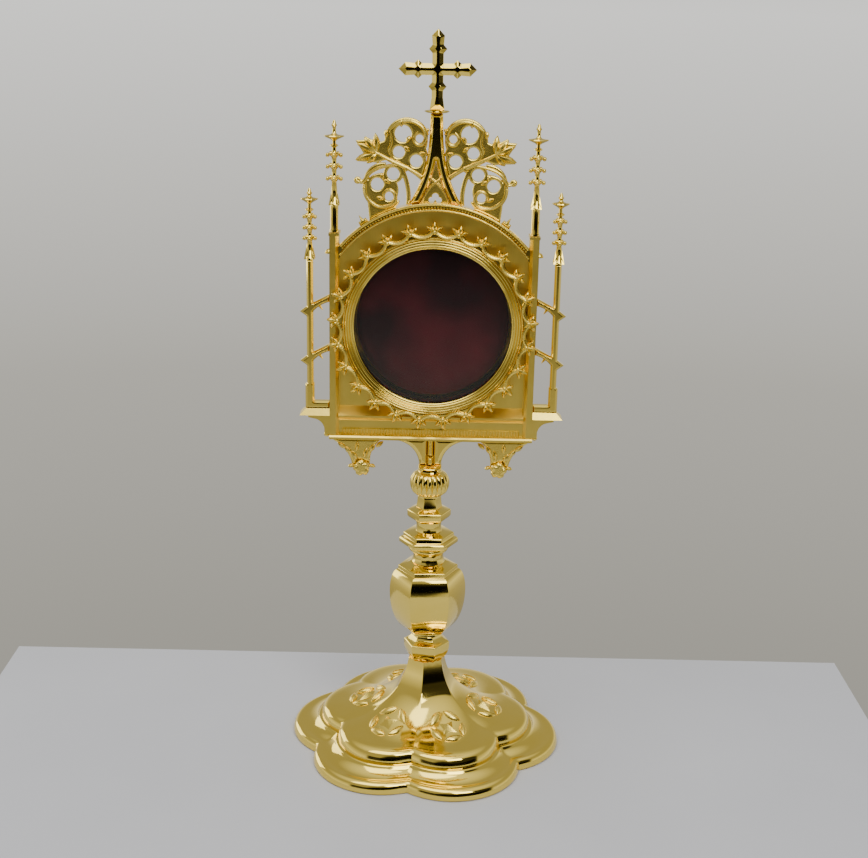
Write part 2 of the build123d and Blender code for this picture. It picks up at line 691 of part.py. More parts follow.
def make_cresting():
    """Pierced scroll with two volutes, eyelets and a vine leaf, placed from the crown of the hood."""
    eyelets = ((17.2, 35.1, 4.3), (19.3, 25.7, 3.0), (10.2, 21.3, 3.2), (22.1, 14.5, 3.2), (30.3, 9.0, 3.3),
               (8.7, 32.6, 2.1), (24.1, 3.0, 2.5))
    band = 1.9
    sketch = Sketch()
    for x, z, r in eyelets:
        sketch += Pos(x, z) * Circle(r + band)
    strokes = (((5.6, 11.0), (12.5, 16.5), (19.4, 19.7)), ((24.1, 37.0), (13.5, 42.0), (5.0, 34.4)),
               ((24.1, 37.0), (25.5, 31.0), (22.6, 25.0)), ((36.4, 9.7), (35.0, 1.1), (26.8, -2.9)),
               ((26.8, -2.9), (22.0, -2.2), (19.6, 1.0)), ((19.4, 19.7), (15.4, 11.5), (14.2, -1.4)),
               ((36.4, 9.7), (34.0, 16.0), (26.0, 19.0)), ((5.6, 24.0), (7.4, 28.4), (12.0, 29.6)))
    for stroke in strokes:
        sketch += trace(ThreePointArc(*stroke), 2.4)
    leaf = outline((24, 22), (31, 20), (41.5, 20.6), (37.5, 24.5), (41.8, 31.2), (36.5, 31.6), (37.0, 33.5),
                   (33.0, 31.5), (31.6, 35.4), (28.8, 30.6), (25.5, 32.0), (24.5, 27))
    upper_volute = Pos(14.8, 31.6) * Circle(10.4)
    lower_volute = Pos(28.0, 6.0) * Circle(8.8)
    joint = outline((6.0, 12.5), (19.4, 20.5), (24.5, 22.0), (24.0, 31.0), (20.0, 30.0), (8.0, 28.0), (5.0, 24.0))
    seat = outline((36.4, 8.0), (35.2, -2.0), (34.0, -13.0), (24.0, -8.0), (20.4, -3.0), (20.6, 1.0))
    sketch += upper_volute + lower_volute + joint + seat
    curl = Pos(40.6, 10.8) * Circle(1.9)
    stalk = trace(Line((34.5, 9.5), (40.6, 10.8)), 1.8)
    sketch += leaf + curl + stalk
    for x, z, r in eyelets:
        sketch -= Pos(x, z) * Circle(r)
    placed = Pos(0, crown_z) * sketch
    placed = placed - Pos(0, window_z) * Circle(hood_outer)
    gable_side = make_face([leg_curve(1), Polyline(leg_curve(1) @ 1, (-20, crown_z + gable_top),
                                                   (-20, crown_z - 3),
                                                   leg_curve(1) @ 0)])
    placed = placed - trace(leg_curve(1), gable_leg) - gable_side
    return slab(placed, crown_depth - cresting_half_depth, crown_depth + cresting_half_depth)


# ---- Pendants ---------------------------------------------------------------

def make_pendant():
    """Leafy bracket under the plinth that ends in a rosette."""
    x, z = pendant_x, head_z - pendant_drop
    leaf = make_face([
        Polyline((x - 12, head_z), (x + 15.5, head_z), (x + 15.5, head_z - 1.5)),
        ThreePointArc((x + 15.5, head_z - 1.5), (x + 8.6, head_z - 7.5), (x + 5.0, z)),
        Line((x + 5.0, z), (x - 5.0, z)),
        ThreePointArc((x - 5.0, z), (x - 6.4, head_z - 6.0), (x - 12, head_z))])
    rosette = Pos(x, z) * (Circle(2.0) + PolarLocations(2.7, 5) * Circle(2.1))
    front = crown_depth - pendant_depth / 2
    return slab(leaf, front, front + pendant_depth) + slab(rosette, front - 2.0, front + pendant_depth)


# ---- Window and drum --------------------------------------------------------

def make_bezel():
    """Round frame with three raised beads, the inner edge holding the glass."""
    ring = about_window(annulus(bezel_outer, glass_clear), drum_front - bezel_base, drum_front)
    pitch = (bezel_outer - glass_clear) / bezel_beads
    for k in range(bezel_beads):
        radius = glass_clear + (k + 0.5) * pitch
        bead = Pos(0, drum_front - bezel_base, window_z) * Rot(90, 0, 0) * Torus(radius, pitch * 0.45)
        ring += bead
    return ring


def make_crest():
    """Ring of scallops open to the outside, with a three-pronged leaf at each point between them."""
    step = 360 / crest_count
    scallop = pi * crest_outer / crest_count - scallop_land
    reach = crest_outer + scallop / 2
    sketch = annulus(crest_outer, bezel_outer + crest_clearance)
    leaf = outline((-1.0, -0.6), (-2.6, 0.8), (-1.7, 2.4), (-1.3, 1.9), (0, crest_leaf + 0.4), (1.3, 1.9),
                   (1.7, 2.4), (2.6, 0.8), (1.0, -0.6))
    for k in range(crest_count):
        middle = radians(90 + step * (k + 0.5))
        sketch -= Pos(reach * cos(middle), reach * sin(middle)) * Circle(scallop)
        sketch += Rot(0, 0, step * k) * (Pos(0, crest_outer - 0.4) * leaf)
    return about_window(sketch, drum_front - crest_thickness, drum_front)


def make_drum():
    """Short tube with a screwed flange, two hinge knuckles and the post of the turn button."""
    tube = about_window(annulus(drum_outer, drum_inner), drum_front, drum_back)
    low_edge = sill_z + drum_fit - window_z
    over_sill = Pos(0, hood_inner + low_edge) * Rectangle(2 * hood_inner, 2 * hood_inner)
    flange = about_window(annulus(drum_flange, drum_inner) & over_sill, plate_back,
                          plate_back + drum_flange_thickness)
    body = tube + flange
    hinge_y = drum_back + door_gap + door_thickness / 2
    for side in (-1, 1):
        z = window_z + side * (0.75 * knuckle_length + knuckle_gap)
        arm = Box(hinge_x - drum_inner, 4.0, knuckle_length / 2)
        body += Pos((drum_inner + hinge_x) / 2, drum_back - 3.0, z) * arm
        body += Pos(hinge_x, hinge_y, z) * Cylinder(knuckle_radius, knuckle_length / 2)
        body += Pos(hinge_x, (drum_back - 3 + hinge_y) / 2, z) * Box(
            2 * knuckle_radius * 0.8, hinge_y - drum_back + 3, knuckle_length / 2)
    post_end = drum_back + door_gap + door_thickness
    post = slab(Pos(-latch_x, window_z) * Circle(latch_post_radius), post_end - latch_post_length, post_end)
    arm = Pos(-(drum_inner + latch_x) / 2, drum_back - 3.5, window_z) * Box(
        latch_x - drum_inner, 4.0, 2 * latch_post_radius)
    body += post + arm
    body -= Pos(0, (plate_back + drum_back) / 2, window_z) * Rot(90, 0, 0) * Cylinder(drum_inner, 60)
    body -= Pos(hinge_x, hinge_y, window_z) * Cylinder(hinge_pin_radius, 60)
    body -= slab(Pos(-latch_x, window_z) * Circle(latch_screw_radius), post_end - latch_screw_depth,
                 post_end)
    return cut_screw_holes(body)


def screw_places():
    radius = (drum_outer + drum_fit + drum_flange) / 2
    step = 360 / flange_screw_count
    angles = [radians(step * (k + 0.5)) for k in range(flange_screw_count)]
    return [(radius * cos(a), window_z + radius * sin(a)) for a in angles]


def cut_screw_holes(body):
    for x, z in screw_places():
        body -= Pos(x, plate_back, z) * Rot(90, 0, 0) * Cylinder(flange_screw_radius, 10)
    return body


def make_flange_screws():
    screws = []
    head_y = plate_back + drum_flange_thickness
    for x, z in screw_places():
        shank = Pos(x, head_y - 1.9, z) * Rot(90, 0, 0) * Cylinder(flange_screw_radius, 3.8)
        head = Pos(x, head_y + 0.5, z) * Rot(90, 0, 0) * Cylinder(flange_screw_head, 1.0)
        screws.append(shank + head)
    return screws


def make_glass():
    radius = drum_inner - glass_clearance
    return about_window(Circle(radius), drum_front, drum_front + glass_thickness)


def make_retaining_ring():
    outer = drum_inner - glass_clearance / 2
    front = drum_front + glass_thickness
    ring = about_window(annulus(outer, outer - ring_section), front, front + ring_section)
    gap = Pos(0, front + ring_section / 2, window_z - outer) * Box(3.0, 6.0, 6.0)
    return ring - gap


# ---- Rear door --------------------------------------------------------------

def make_rear_door():
    """Round door with a boss that enters the drum and a single knuckle on the hinge pin."""
    front = drum_back + door_gap
    back = front + door_thickness
    hinge_y = (front + back) / 2
    body = about_window(Circle(door_radius), front, back)
    body += about_window(Circle(door_boss_radius), front - door_boss_depth, front)
    leaf = Pos((drum_inner + hinge_x) / 2, hinge_y, window_z) * Box(
        hinge_x - drum_inner, door_thickness, knuckle_length)
    body += leaf + Pos(hinge_x, hinge_y, window_z) * Cylinder(knuckle_radius, knuckle_length)
    body -= Pos(hinge_x, hinge_y, window_z) * Cylinder(hinge_pin_radius + hinge_clearance, 60)
    return body - Pos(-pull_x, hinge_y, window_z) * Rot(90, 0, 0) * Cylinder(pull_rivet, 2 * door_thickness)


def make_velvet_pad():
    back = drum_back + door_gap - door_boss_depth
    return about_window(Circle(pad_radius), back - pad_thickness, back)


def make_hinge_pin():
    hinge_y = drum_back + door_gap + door_thickness / 2
    length = 2 * knuckle_length + 2 * knuckle_gap + 0.4
    pin = Pos(hinge_x, hinge_y, window_z) * Cylinder(hinge_pin_radius, length)
    for side in (-1, 1):
        pin += Pos(hinge_x, hinge_y, window_z + side * (length / 2 + 0.4)) * Cylinder(1.9, 0.8)
    return pin


def make_turn_latch():
    """Turn button, parked upright clear of the door."""
    front = drum_back + 2 * door_gap + door_thickness
    plan = Pos(0, latch_length / 2) * Rectangle(latch_width, latch_length) + Circle(latch_post_radius)
    plan += Pos(0, latch_length) * Circle(latch_width / 2)
    plan -= Circle(latch_screw_radius + hinge_clearance)
    return slab(Pos(-latch_x, window_z) * plan, front, front + latch_thickness)


def make_latch_screw():
    post_end = drum_back + door_gap + door_thickness
    under_head = drum_back + 2 * door_gap + door_thickness + latch_thickness + hinge_clearance
    shank = slab(Pos(-latch_x, window_z) * Circle(latch_screw_radius), post_end - latch_screw_depth,
                 under_head)
    head = slab(Pos(-latch_x, window_z) * Circle(latch_screw_head), under_head, under_head + 1.2)
    return shank + head


def make_door_pull():
    base = drum_back + door_gap + door_thickness
    knob = turned(Polyline((pull_rivet, -door_thickness), (pull_rivet, 0), (2.6, 0), (2.6, 0.8),
                           (1.5, 1.8), (1.5, pull_length - 4.2),
                           (pull_radius, pull_length - 2.6), (pull_radius, pull_length - 1.2),
                           (1.6, pull_length)))
    return Pos(-pull_x, base, window_z) * Rot(-90, 0, 0) * knob


nodes = {
    **make_foot_and_trumpet(),
    "lower_collar": make_lower_collar(),
    "lower_neck": make_lower_neck(),
    "knop": make_knop(),
    "knop_neck": make_knop_neck(),
    "hex_flange": make_hex_flange(),
    "middle_neck": make_middle_neck(),
    "upper_ring": make_upper_ring(),
    "upper_neck": make_upper_neck(),
    "ribbed_bead": make_ribbed_bead(),
    "head_bracket": make_head_bracket(),
    **make_rod_set(),
    "plinth": make_plinth(),
    "knurled_band": make_knurled_band(),
    "plinth_moulding": make_plinth_moulding(),
    "back_plate": cut_screw_holes(make_back_plate()),
    "hood": make_hood(),
    "hood_crockets": make_hood_crockets(),
    "ogee_gable": make_gable(),
    "gable_tracery": make_gable_tracery(),
    "cross_collar": make_cross_collar(),
    "cross": make_cross(),
    "window_bezel": make_bezel(),
    "window_crest": make_crest(),
    "theca_drum": make_drum(),
    "flange_screws": make_flange_screws(),
    "glass_pane": make_glass(),
    "glass_retaining_ring": make_retaining_ring(),
    "rear_door": make_rear_door(),
    "velvet_pad": make_velvet_pad(),
    "hinge_pin": make_hinge_pin(),
    "turn_latch": make_turn_latch(),
    "latch_screw": make_latch_screw(),
    "door_pull": make_door_pull(),
}
pairs = {"column": make_column(), "pinnacle": make_pinnacle(), "ledge": make_ledge(),
         "buttress": make_buttress(),
         "outer_pinnacle": make_outer_pinnacle(), "cresting": make_cresting(), "pendant": make_pendant()}
for name, piece in pairs.items():
    for side, shape in both(piece).items():
        nodes[f"{side}_{name}"] = shape

os.makedirs("parts", exist_ok=True)
for name, shape in nodes.items():
    pieces = shape if isinstance(shape, list) else [shape]
    solids = [solid for piece in pieces for solid in piece.solids()]
    export_step(solids[0] if len(solids) == 1 else Compound(children=solids), f"parts/{name}.step")
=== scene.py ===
import math

import bmesh
import bpy
from mathutils import Matrix, Vector, kdtree


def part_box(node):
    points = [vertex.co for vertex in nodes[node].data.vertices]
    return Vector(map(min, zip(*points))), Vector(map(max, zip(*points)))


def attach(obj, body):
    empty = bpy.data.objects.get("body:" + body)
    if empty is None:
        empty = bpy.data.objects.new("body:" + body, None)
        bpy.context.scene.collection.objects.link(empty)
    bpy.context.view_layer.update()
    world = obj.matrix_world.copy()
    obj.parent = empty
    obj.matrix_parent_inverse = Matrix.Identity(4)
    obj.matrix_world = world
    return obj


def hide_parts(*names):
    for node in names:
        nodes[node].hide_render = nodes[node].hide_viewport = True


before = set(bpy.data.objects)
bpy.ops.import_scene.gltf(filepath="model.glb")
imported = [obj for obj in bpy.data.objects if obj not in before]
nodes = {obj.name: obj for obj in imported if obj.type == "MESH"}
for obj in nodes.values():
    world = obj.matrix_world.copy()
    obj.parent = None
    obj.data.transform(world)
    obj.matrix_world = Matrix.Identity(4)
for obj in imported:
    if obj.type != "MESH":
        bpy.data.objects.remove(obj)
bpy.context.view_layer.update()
bpy.ops.object.select_all(action="DESELECT")

# Table, room and camera. The monstrance stands on a white paper sheet, seen a little from above. The
# walls are pale and the room before it is dim, so polished faces that look forward show dark, and
# those that look down or sideways show the sheet and the walls.
camera_data = bpy.data.cameras.new("camera")
camera_data.sensor_width = 36.0
camera_data.lens = 57.37
camera = bpy.data.objects.new("camera", camera_data)
bpy.context.scene.collection.objects.link(camera)
camera.matrix_world = (Matrix.Translation((0.0018, -0.7304, 0.4094))
                       @ Matrix.Rotation(math.radians(90 - 16.894), 4, "X")
                       @ Matrix.Rotation(math.radians(1.178), 4, "Z"))
bpy.context.scene.camera = camera


def colour(code):
    """An sRGB hex colour as linear values."""
    parts = [int(code[i:i + 2], 16) / 255 for i in (1, 3, 5)]
    return tuple(p / 12.92 if p <= 0.04045 else ((p + 0.055) / 1.055) ** 2.4 for p in parts) + (1.0,)


def add_node(tree, kind, settings=None, links=None):
    """Adds a node, sets its properties and socket values, and links its inputs."""
    node = tree.nodes.new(kind)
    for name, value in (settings or {}).items():
        if name in node.inputs:
            node.inputs[name].default_value = value
        else:
            setattr(node, name, value)
    for name, source in (links or {}).items():
        tree.links.new(source, node.inputs[name])
    return node


def new_material(name):
    """A material with its node tree, its shader and the Object coordinates its pattern reads."""
    material = bpy.data.materials.new(name)
    material.use_nodes = True
    tree = material.node_tree
    place = add_node(tree, "ShaderNodeTexCoord").outputs["Object"]
    return material, tree, tree.nodes["Principled BSDF"], place


# Matt drawing paper off a roll: a cool white with faint clouds a hand wide and fibres of 1 mm, drawn
# coarser than real ones to show, so the table isn't one flat grey.
table_paper, tree, shader, place = new_material("table_paper")
cloud = add_node(tree, "ShaderNodeTexNoise", {"Scale": 9.0, "Detail": 3.0}, {"Vector": place})
shade = add_node(tree, "ShaderNodeMix",
                 {"data_type": "RGBA", "A": colour("#C2C3C9"), "B": colour("#CDCED3")},
                 {"Factor": cloud.outputs["Fac"]})
fibre = add_node(tree, "ShaderNodeTexNoise", {"Scale": 900.0, "Detail": 2.0}, {"Vector": place})
grain = add_node(tree, "ShaderNodeBump", {"Strength": 0.15, "Distance": 0.0002},
                 {"Height": fibre.outputs["Fac"]})
tree.links.new(shade.outputs[2], shader.inputs["Base Color"])
tree.links.new(grain.outputs["Normal"], shader.inputs["Normal"])
shader.inputs["Roughness"].default_value = 0.75

table_width, table_depth, table_centre = 0.54, 0.503, -0.1485
bpy.ops.mesh.primitive_plane_add(size=1.0, location=(0, table_centre, 0))
table = bpy.context.object
table.name = "table_sheet"
table.scale = (table_width, table_depth, 1)
bpy.ops.object.transform_apply(location=True, rotation=True, scale=True)
table.data.materials.append(table_paper)

world = bpy.data.worlds.new("room")
bpy.context.scene.world = world
world.use_nodes = True
room = world.node_tree
ray = add_node(room, "ShaderNodeTexCoord").outputs["Generated"]
rise = add_node(room, "ShaderNodeSeparateXYZ", links={"Vector": ray}).outputs["Z"]
height = add_node(room, "ShaderNodeMapRange", {"From Min": -0.6, "From Max": 1.0}, {"Value": rise})
walls = add_node(room, "ShaderNodeValToRGB", links={"Fac": height.outputs["Result"]})
ramp = walls.color_ramp
ramp.elements[0].color = colour("#8E8B80")
ramp.elements[1].color = colour("#FFFFFF")
for position, code in ((0.12, "#A09D94"), (0.22, "#B3B0A7"), (0.31, "#D6D4CE"), (0.375, "#F0EFEB"),
                       (0.45, "#D8D6D0"), (0.6, "#A5A298"), (0.8, "#A29F95")):
    ramp.elements.new(position).color = colour(code)


def towards(direction, source):
    """How closely a ray points in a direction, 1 when it is in line."""
    node = add_node(room, "ShaderNodeVectorMath", {"operation": "DOT_PRODUCT"}, {"Vector": source})
    node.inputs[1].default_value = direction
    return node.outputs["Value"]


def soft_step(value, low, high, start, end):
    """A soft step in the room's light, from one value to another."""
    return add_node(room, "ShaderNodeMapRange",
                    {"interpolation_type": "SMOOTHSTEP", "From Min": low, "From Max": high,
                     "To Min": start, "To Max": end}, {"Value": value}).outputs["Result"]


def combine(operation, first, second):
    """One value from two, multiplied or the larger one."""
    node = add_node(room, "ShaderNodeMath", {"operation": operation})
    room.links.new(first, node.inputs[0])
    room.links.new(second, node.inputs[1])
    return node.outputs["Value"]


# The dim side of the room: the camera's corner, a low band of furniture, and somebody standing at the
# right. Only the object sees it; the backdrop stays pale.
level = add_node(room, "ShaderNodeVectorMath", {"operation": "MULTIPLY"}, {"Vector": ray})
level.inputs[1].default_value = (1.0, 1.0, 0.0)
ahead = add_node(room, "ShaderNodeVectorMath", {"operation": "NORMALIZE"},
                 {"Vector": level.outputs["Vector"]})
across = soft_step(towards((0.17, -0.985, 0.0), ahead.outputs["Vector"]), 0.42, 0.6, 0.0, 1.0)
above_floor = soft_step(rise, -0.13, -0.07, 0.0, 1.0)
below_windows = soft_step(rise, 0.22, 0.32, 1.0, 0.0)
furniture = combine("MULTIPLY", across, combine("MULTIPLY", above_floor, below_windows))
furniture_dim = soft_step(furniture, 0.0, 1.0, 1.0, 0.05)
person_dim = soft_step(towards((0.62, -0.66, 0.42), ray), 0.86, 0.92, 1.0, 0.08)
corner_dim = soft_step(towards((0.0, -0.9925, 0.1219), ray), 0.9, 0.965, 1.0, 0.04)
dark = combine("MULTIPLY", corner_dim, combine("MULTIPLY", furniture_dim, person_dim))
dim = combine("MAXIMUM", dark, add_node(room, "ShaderNodeLightPath").outputs["Is Camera Ray"])
shade = add_node(room, "ShaderNodeVectorMath", {"operation": "SCALE"},
                 {"Vector": walls.outputs["Color"], "Scale": dim})
room.links.new(shade.outputs["Vector"], room.nodes["Background"].inputs["Color"])
room.nodes["Background"].inputs["Strength"].default_value = 1.15


def softbox(name, place, target, size, power):
    """A square soft light aimed at a point."""
    light = bpy.data.lights.new(name, "AREA")
    light.size = size
    light.energy = power
    holder = bpy.data.objects.new(name, light)
    holder.location = place
    holder.rotation_euler = (Vector(target) - Vector(place)).to_track_quat("-Z", "Y").to_euler()
    bpy.context.scene.collection.objects.link(holder)


softbox("softbox_over", (-0.25, -0.35, 1.3), (0, 0, 0.1), size=0.9, power=6)
softbox("softbox_left", (-1.15, 0.85, 0.4), (0, 0, 0.2), size=0.8, power=5)
softbox("softbox_front", (0.45, -1.0, 1.15), (0, 0, 0.25), size=0.7, power=9)

# Gold plate. Every visible piece of the frame is brass, gold plated after its last working. It is a
# lemon gold that deepens a little in soft clouds 7 to 17 mm wide, and the working below it shows
# through as shine or grain.


def gold_plate(name, roughness, cloud_scale, grain_scale, grain_height, stretch=(1, 1, 1)):
    """Gold plate over a worked surface. A scale is the pattern's repeats in a metre, the grain's height is
    in metres, and stretch draws the grain out along an axis."""
    material, tree, shader, place = new_material(name)
    shape = add_node(tree, "ShaderNodeMapping", {"Scale": stretch}, {"Vector": place})
    cloud = add_node(tree, "ShaderNodeTexNoise", {"Scale": cloud_scale, "Detail": 3.0}, {"Vector": place})
    tone = add_node(tree, "ShaderNodeMix",
                    {"data_type": "RGBA", "A": colour("#F6D75C"), "B": colour("#FADF70")},
                    {"Factor": cloud.outputs["Fac"]})
    worn = add_node(tree, "ShaderNodeMapRange", {"To Min": roughness * 0.75, "To Max": roughness * 1.3},
                    {"Value": cloud.outputs["Fac"]})
    marks = add_node(tree, "ShaderNodeTexNoise", {"Scale": grain_scale, "Detail": 4.0, "Roughness": 0.6},
                     {"Vector": shape.outputs["Vector"]})
    bump = add_node(tree, "ShaderNodeBump", {"Strength": 0.5, "Distance": grain_height},
                    {"Height": marks.outputs["Fac"]})
    tree.links.new(tone.outputs[2], shader.inputs["Base Color"])
    tree.links.new(worn.outputs["Result"], shader.inputs["Roughness"])
    tree.links.new(bump.outputs["Normal"], shader.inputs["Normal"])
    shader.inputs["Metallic"].default_value = 1.0
    return material


# Buffed on a wheel: a near mirror with the faintest ripple, 3.3 mm across.
gold_polished = gold_plate("gold_plate_polished", 0.09, 60.0, 300.0, 0.00002)
# Sand cast and pickled: a soft sparkle from a grain 0.7 mm across.
gold_cast = gold_plate("gold_plate_cast", 0.26, 150.0, 1400.0, 0.00008)
# Brushed up and down: streaks 0.9 mm wide and fifty times as long that spread the light. The real
# scratches are finer than can show.
gold_brushed = gold_plate("gold_plate_brushed", 0.34, 90.0, 1100.0, 0.00016, (1.0, 1.0, 0.02))
# Filed and rubbed down on milled bars: an even satin with a tooth of 1.4 mm.
gold_satin = gold_plate("gold_plate_satin", 0.3, 90.0, 700.0, 0.00004)


def pick(piece):
    """Selects one piece alone."""
    bpy.ops.object.select_all(action="DESELECT")
    piece.select_set(True)
    bpy.context.view_layer.objects.active = piece


def coat(piece, material):
    """Gives a piece one finish all over."""
    piece.data.materials.clear()
    piece.data.materials.append(material)


def finish(piece, name, material, *replaced, body="frame", slot="gilt_brass", smooth=35):
    """Sets a finished piece's place into its mesh, smooths and coats it, and fixes it to its body."""
    pick(piece)
    bpy.ops.object.transform_apply(location=True, rotation=True, scale=True)
    bpy.ops.object.shade_smooth_by_angle(angle=math.radians(smooth))
    piece.name = piece.data.name = name
    coat(piece, material)
    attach(piece, body)
    if replaced:
        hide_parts(*replaced)
    return piece


for name, node in nodes.items():
    if name not in ("glass_pane", "velvet_pad"):
        coat(node, gold_polished)

# Foot. One brass casting in six lobes, hollow below: a rounded rim on the table, a cove, a second tier
# with a rounded shoulder, and a deck that sweeps up in six hollow facets to the foot of the stem. It
# stands turned a little, so a notch between two lobes faces almost forward.
foot_turn = -7.7


def lobe_radius(angle, lobe, cusp):
    """How far out a ring lies at an angle: six arcs from cusp to cusp through the tips of the lobes."""
    part = (angle - math.radians(foot_turn - 90)) % math.radians(60) - math.radians(30)
    centre = (lobe ** 2 - cusp ** 2) / (2 * (lobe - cusp * math.cos(math.radians(30))))
    reach = lobe - centre
    half_chord = math.sqrt(reach ** 2 - (centre * math.sin(part)) ** 2)
    return centre * math.cos(part) + math.copysign(1, reach) * half_chord


def stack_rings(sides, rings, turn=0.0):
    """A piece built up from one ring, each ring extruded from the last and drawn to its size in mm.
    A ring is a height and a radius, or a height, a lobe radius and a cusp radius."""
    bpy.ops.object.select_all(action="DESELECT")
    bpy.ops.mesh.primitive_circle_add(vertices=sides, radius=0.05, fill_type="NGON")
    piece = bpy.context.object
    bpy.ops.object.mode_set(mode="EDIT")
    bpy.ops.mesh.select_mode(type="FACE")
    bpy.ops.mesh.select_all(action="SELECT")
    for step, ring in enumerate(rings):
        if step:
            bpy.ops.mesh.extrude_region_move()
        mesh = bmesh.from_edit_mesh(piece.data)
        for vertex in (v for v in mesh.verts if v.select):
            angle = math.atan2(vertex.co.y, vertex.co.x) + (math.radians(turn) if step == 0 else 0)
            radius = ring[1] if len(ring) == 2 else lobe_radius(angle, ring[1], ring[2])
            vertex.co = (radius * math.cos(angle) / 1000, radius * math.sin(angle) / 1000, ring[0] / 1000)
        bmesh.update_edit_mesh(piece.data)
    bpy.ops.mesh.select_all(action="SELECT")
    bpy.ops.mesh.normals_make_consistent(inside=False)
    bpy.ops.object.mode_set(mode="OBJECT")
    return piece


cusp_share = math.sqrt(3) / 2
tier_lines = ((0.0, 76.8), (0.2, 77.4), (0.8, 77.9), (1.8, 78.0), (4.4, 77.2), (5.4, 76.5), (6.1, 75.3),
              (6.3, 73.9), (6.1, 72.4), (6.15, 70.4), (6.6, 68.2), (7.3, 66.2), (8.3, 64.4), (9.3, 63.2),
              (9.9, 62.9), (10.2, 62.3), (10.15, 61.5), (10.4, 61.0), (11.1, 61.3), (12.2, 61.1),
              (15.0, 60.1), (16.1, 59.1), (16.8, 57.7), (17.2, 55.9), (17.5, 53.0), (17.8, 49.5))
foot_rings = [(z, lobe, lobe * cusp_share) for z, lobe in tier_lines]
foot_rings += [(18.3, 45.5, 40.3), (19.1, 41.0, 37.3)]
trumpet_root, trumpet_rise, trumpet_top, trumpet_spread, trumpet_steps = 20.5, 30.0, 10.9, 23.1, 24
for step in range(trumpet_steps + 1):
    t = step / trumpet_steps
    corner = trumpet_top + trumpet_spread * (0.72 * (1 - t) ** 3 + 0.28 * (1 - t))
    bulge = max(0.0, 0.17 - 0.42 * t)
    foot_rings.append((trumpet_root + t * trumpet_rise, corner * (cusp_share + 0.005 + bulge), corner))
wall = 2.0
inside = [(max(z - wall, 0.0), lobe - wall, cusp - wall) for z, lobe, cusp in foot_rings[10:]]
foot = stack_rings(240, inside[::-1] + [(0.0, 75.0, 75.0 * cusp_share)] + foot_rings)
finish(foot, "foot_and_trumpet", gold_polished, "foot", "trumpet", smooth=40)


def deck_height(x, y):
    """The height of the foot's upper surface over a place on the table, in mm."""
    reach, angle = math.hypot(x, y), math.atan2(y, x)
    last = None
    for z, lobe, cusp in foot_rings[20:]:
        radius = lobe_radius(angle, lobe, cusp)
        if last and radius <= reach <= last[1]:
            return last[0] + (z - last[0]) * (last[1] - reach) / max(last[1] - radius, 1e-6)
        last = (z, radius)
    return foot_rings[-1][0]


# Medallions on the foot. Relief cast on each lobe and chased by hand: a four-pointed star with five almond
# leaves round it, each leaf with a raised vein, a millimetre or so proud of the deck.


def dome(length, width, height, segments, rings, pinch=0.45):
    """An almond shape lying along X, drawn in towards both ends, its back flat, in mm."""
    bpy.ops.object.select_all(action="DESELECT")
    radius = 0.0005
    bpy.ops.mesh.primitive_uv_sphere_add(segments=segments, ring_count=rings, radius=radius,
                                         rotation=(0, math.pi / 2, 0))
    piece = bpy.context.object
    bpy.ops.object.transform_apply(location=True, rotation=True, scale=True)
    for vertex in piece.data.vertices:
        along = abs(vertex.co.x) / radius
        vertex.co.x *= length
        vertex.co.y *= width * (1 - pinch * along ** 2)
        vertex.co.z = max(vertex.co.z, -0.1 * radius) * 2 * height
    return piece


def join(pieces):
    """One piece from several."""
    pick(pieces[0])
    for piece in pieces:
        piece.select_set(True)
    bpy.ops.object.join()
    return pieces[0]


def copies(piece, matrices):
    """Copies of a piece, each with its own mesh, joined with it; the first matrix is for the piece itself."""
    made = []
    for matrix in matrices[1:]:
        copy = piece.copy()
        copy.data = piece.data.copy()
        copy.data.transform(matrix)
        bpy.context.scene.collection.objects.link(copy)
        made.append(copy)
    piece.data.transform(matrices[0])
    return join([piece] + made)


leaf = join([dome(10.4, 4.7, 2.0, 14, 10), dome(10.6, 1.1, 2.8, 6, 8)])
leaf_ring, star_reach, star_height, medallion_reach = 0.0085, 0.0060, 0.0028, 0.0345
relief = copies(leaf, [Matrix.Rotation(math.radians(72 * k), 4, "Z") @ Matrix.Translation((0, -leaf_ring, 0))
                       for k in range(5)])
bpy.ops.mesh.primitive_cone_add(vertices=8, radius1=star_reach, radius2=0.0, depth=star_height,
                                location=(0, 0, star_height / 2))
star = bpy.context.object
bpy.ops.object.transform_apply(location=True, rotation=True, scale=True)
for vertex in star.data.vertices:
    angle = math.degrees(math.atan2(vertex.co.y, vertex.co.x))
    if vertex.co.xy.length > 0.001 and round(angle / 45) % 2 == 0:
        vertex.co.xy *= 0.52
relief = join([relief, star])
medallions = copies(relief, [Matrix.Rotation(math.radians(foot_turn - 60 + 60 * k), 4, "Z")
                             @ Matrix.Translation((medallion_reach, 0, 0))
                             @ Matrix.Rotation(math.radians(90), 4, "Z") for k in range(6)])
for vertex in medallions.data.vertices:
    vertex.co.z += deck_height(vertex.co.x * 1000, vertex.co.y * 1000) / 1000 - 0.0002
finish(medallions, "foot_medallions", gold_cast)

# Stem. Turned and milled brass beads, necks and hexagons threaded on one steel rod. Each has its
# corners just broken and is buffed. A ring of a piece is its height and its radius over the corners.


def ease(piece, width):
    """Breaks the sharp edges of a piece with a small round, width in mm."""
    pick(piece)
    bevel = piece.modifiers.new("broken_edges", "BEVEL")
    bevel.width = width / 1000
    bevel.segments = 3
    bevel.limit_method = "ANGLE"
    bevel.angle_limit = math.radians(30)
    bpy.ops.object.modifier_apply(modifier=bevel.name)
    return piece


def arc_rings(z0, r0, z1, r1, bulge, steps):
    """Rings along a curve from one ring to another, bulging outwards in the middle."""
    return [(z0 + (z1 - z0) * k / steps, r0 + (r1 - r0) * k / steps + bulge * math.sin(math.pi * k / steps))
            for k in range(steps + 1)]


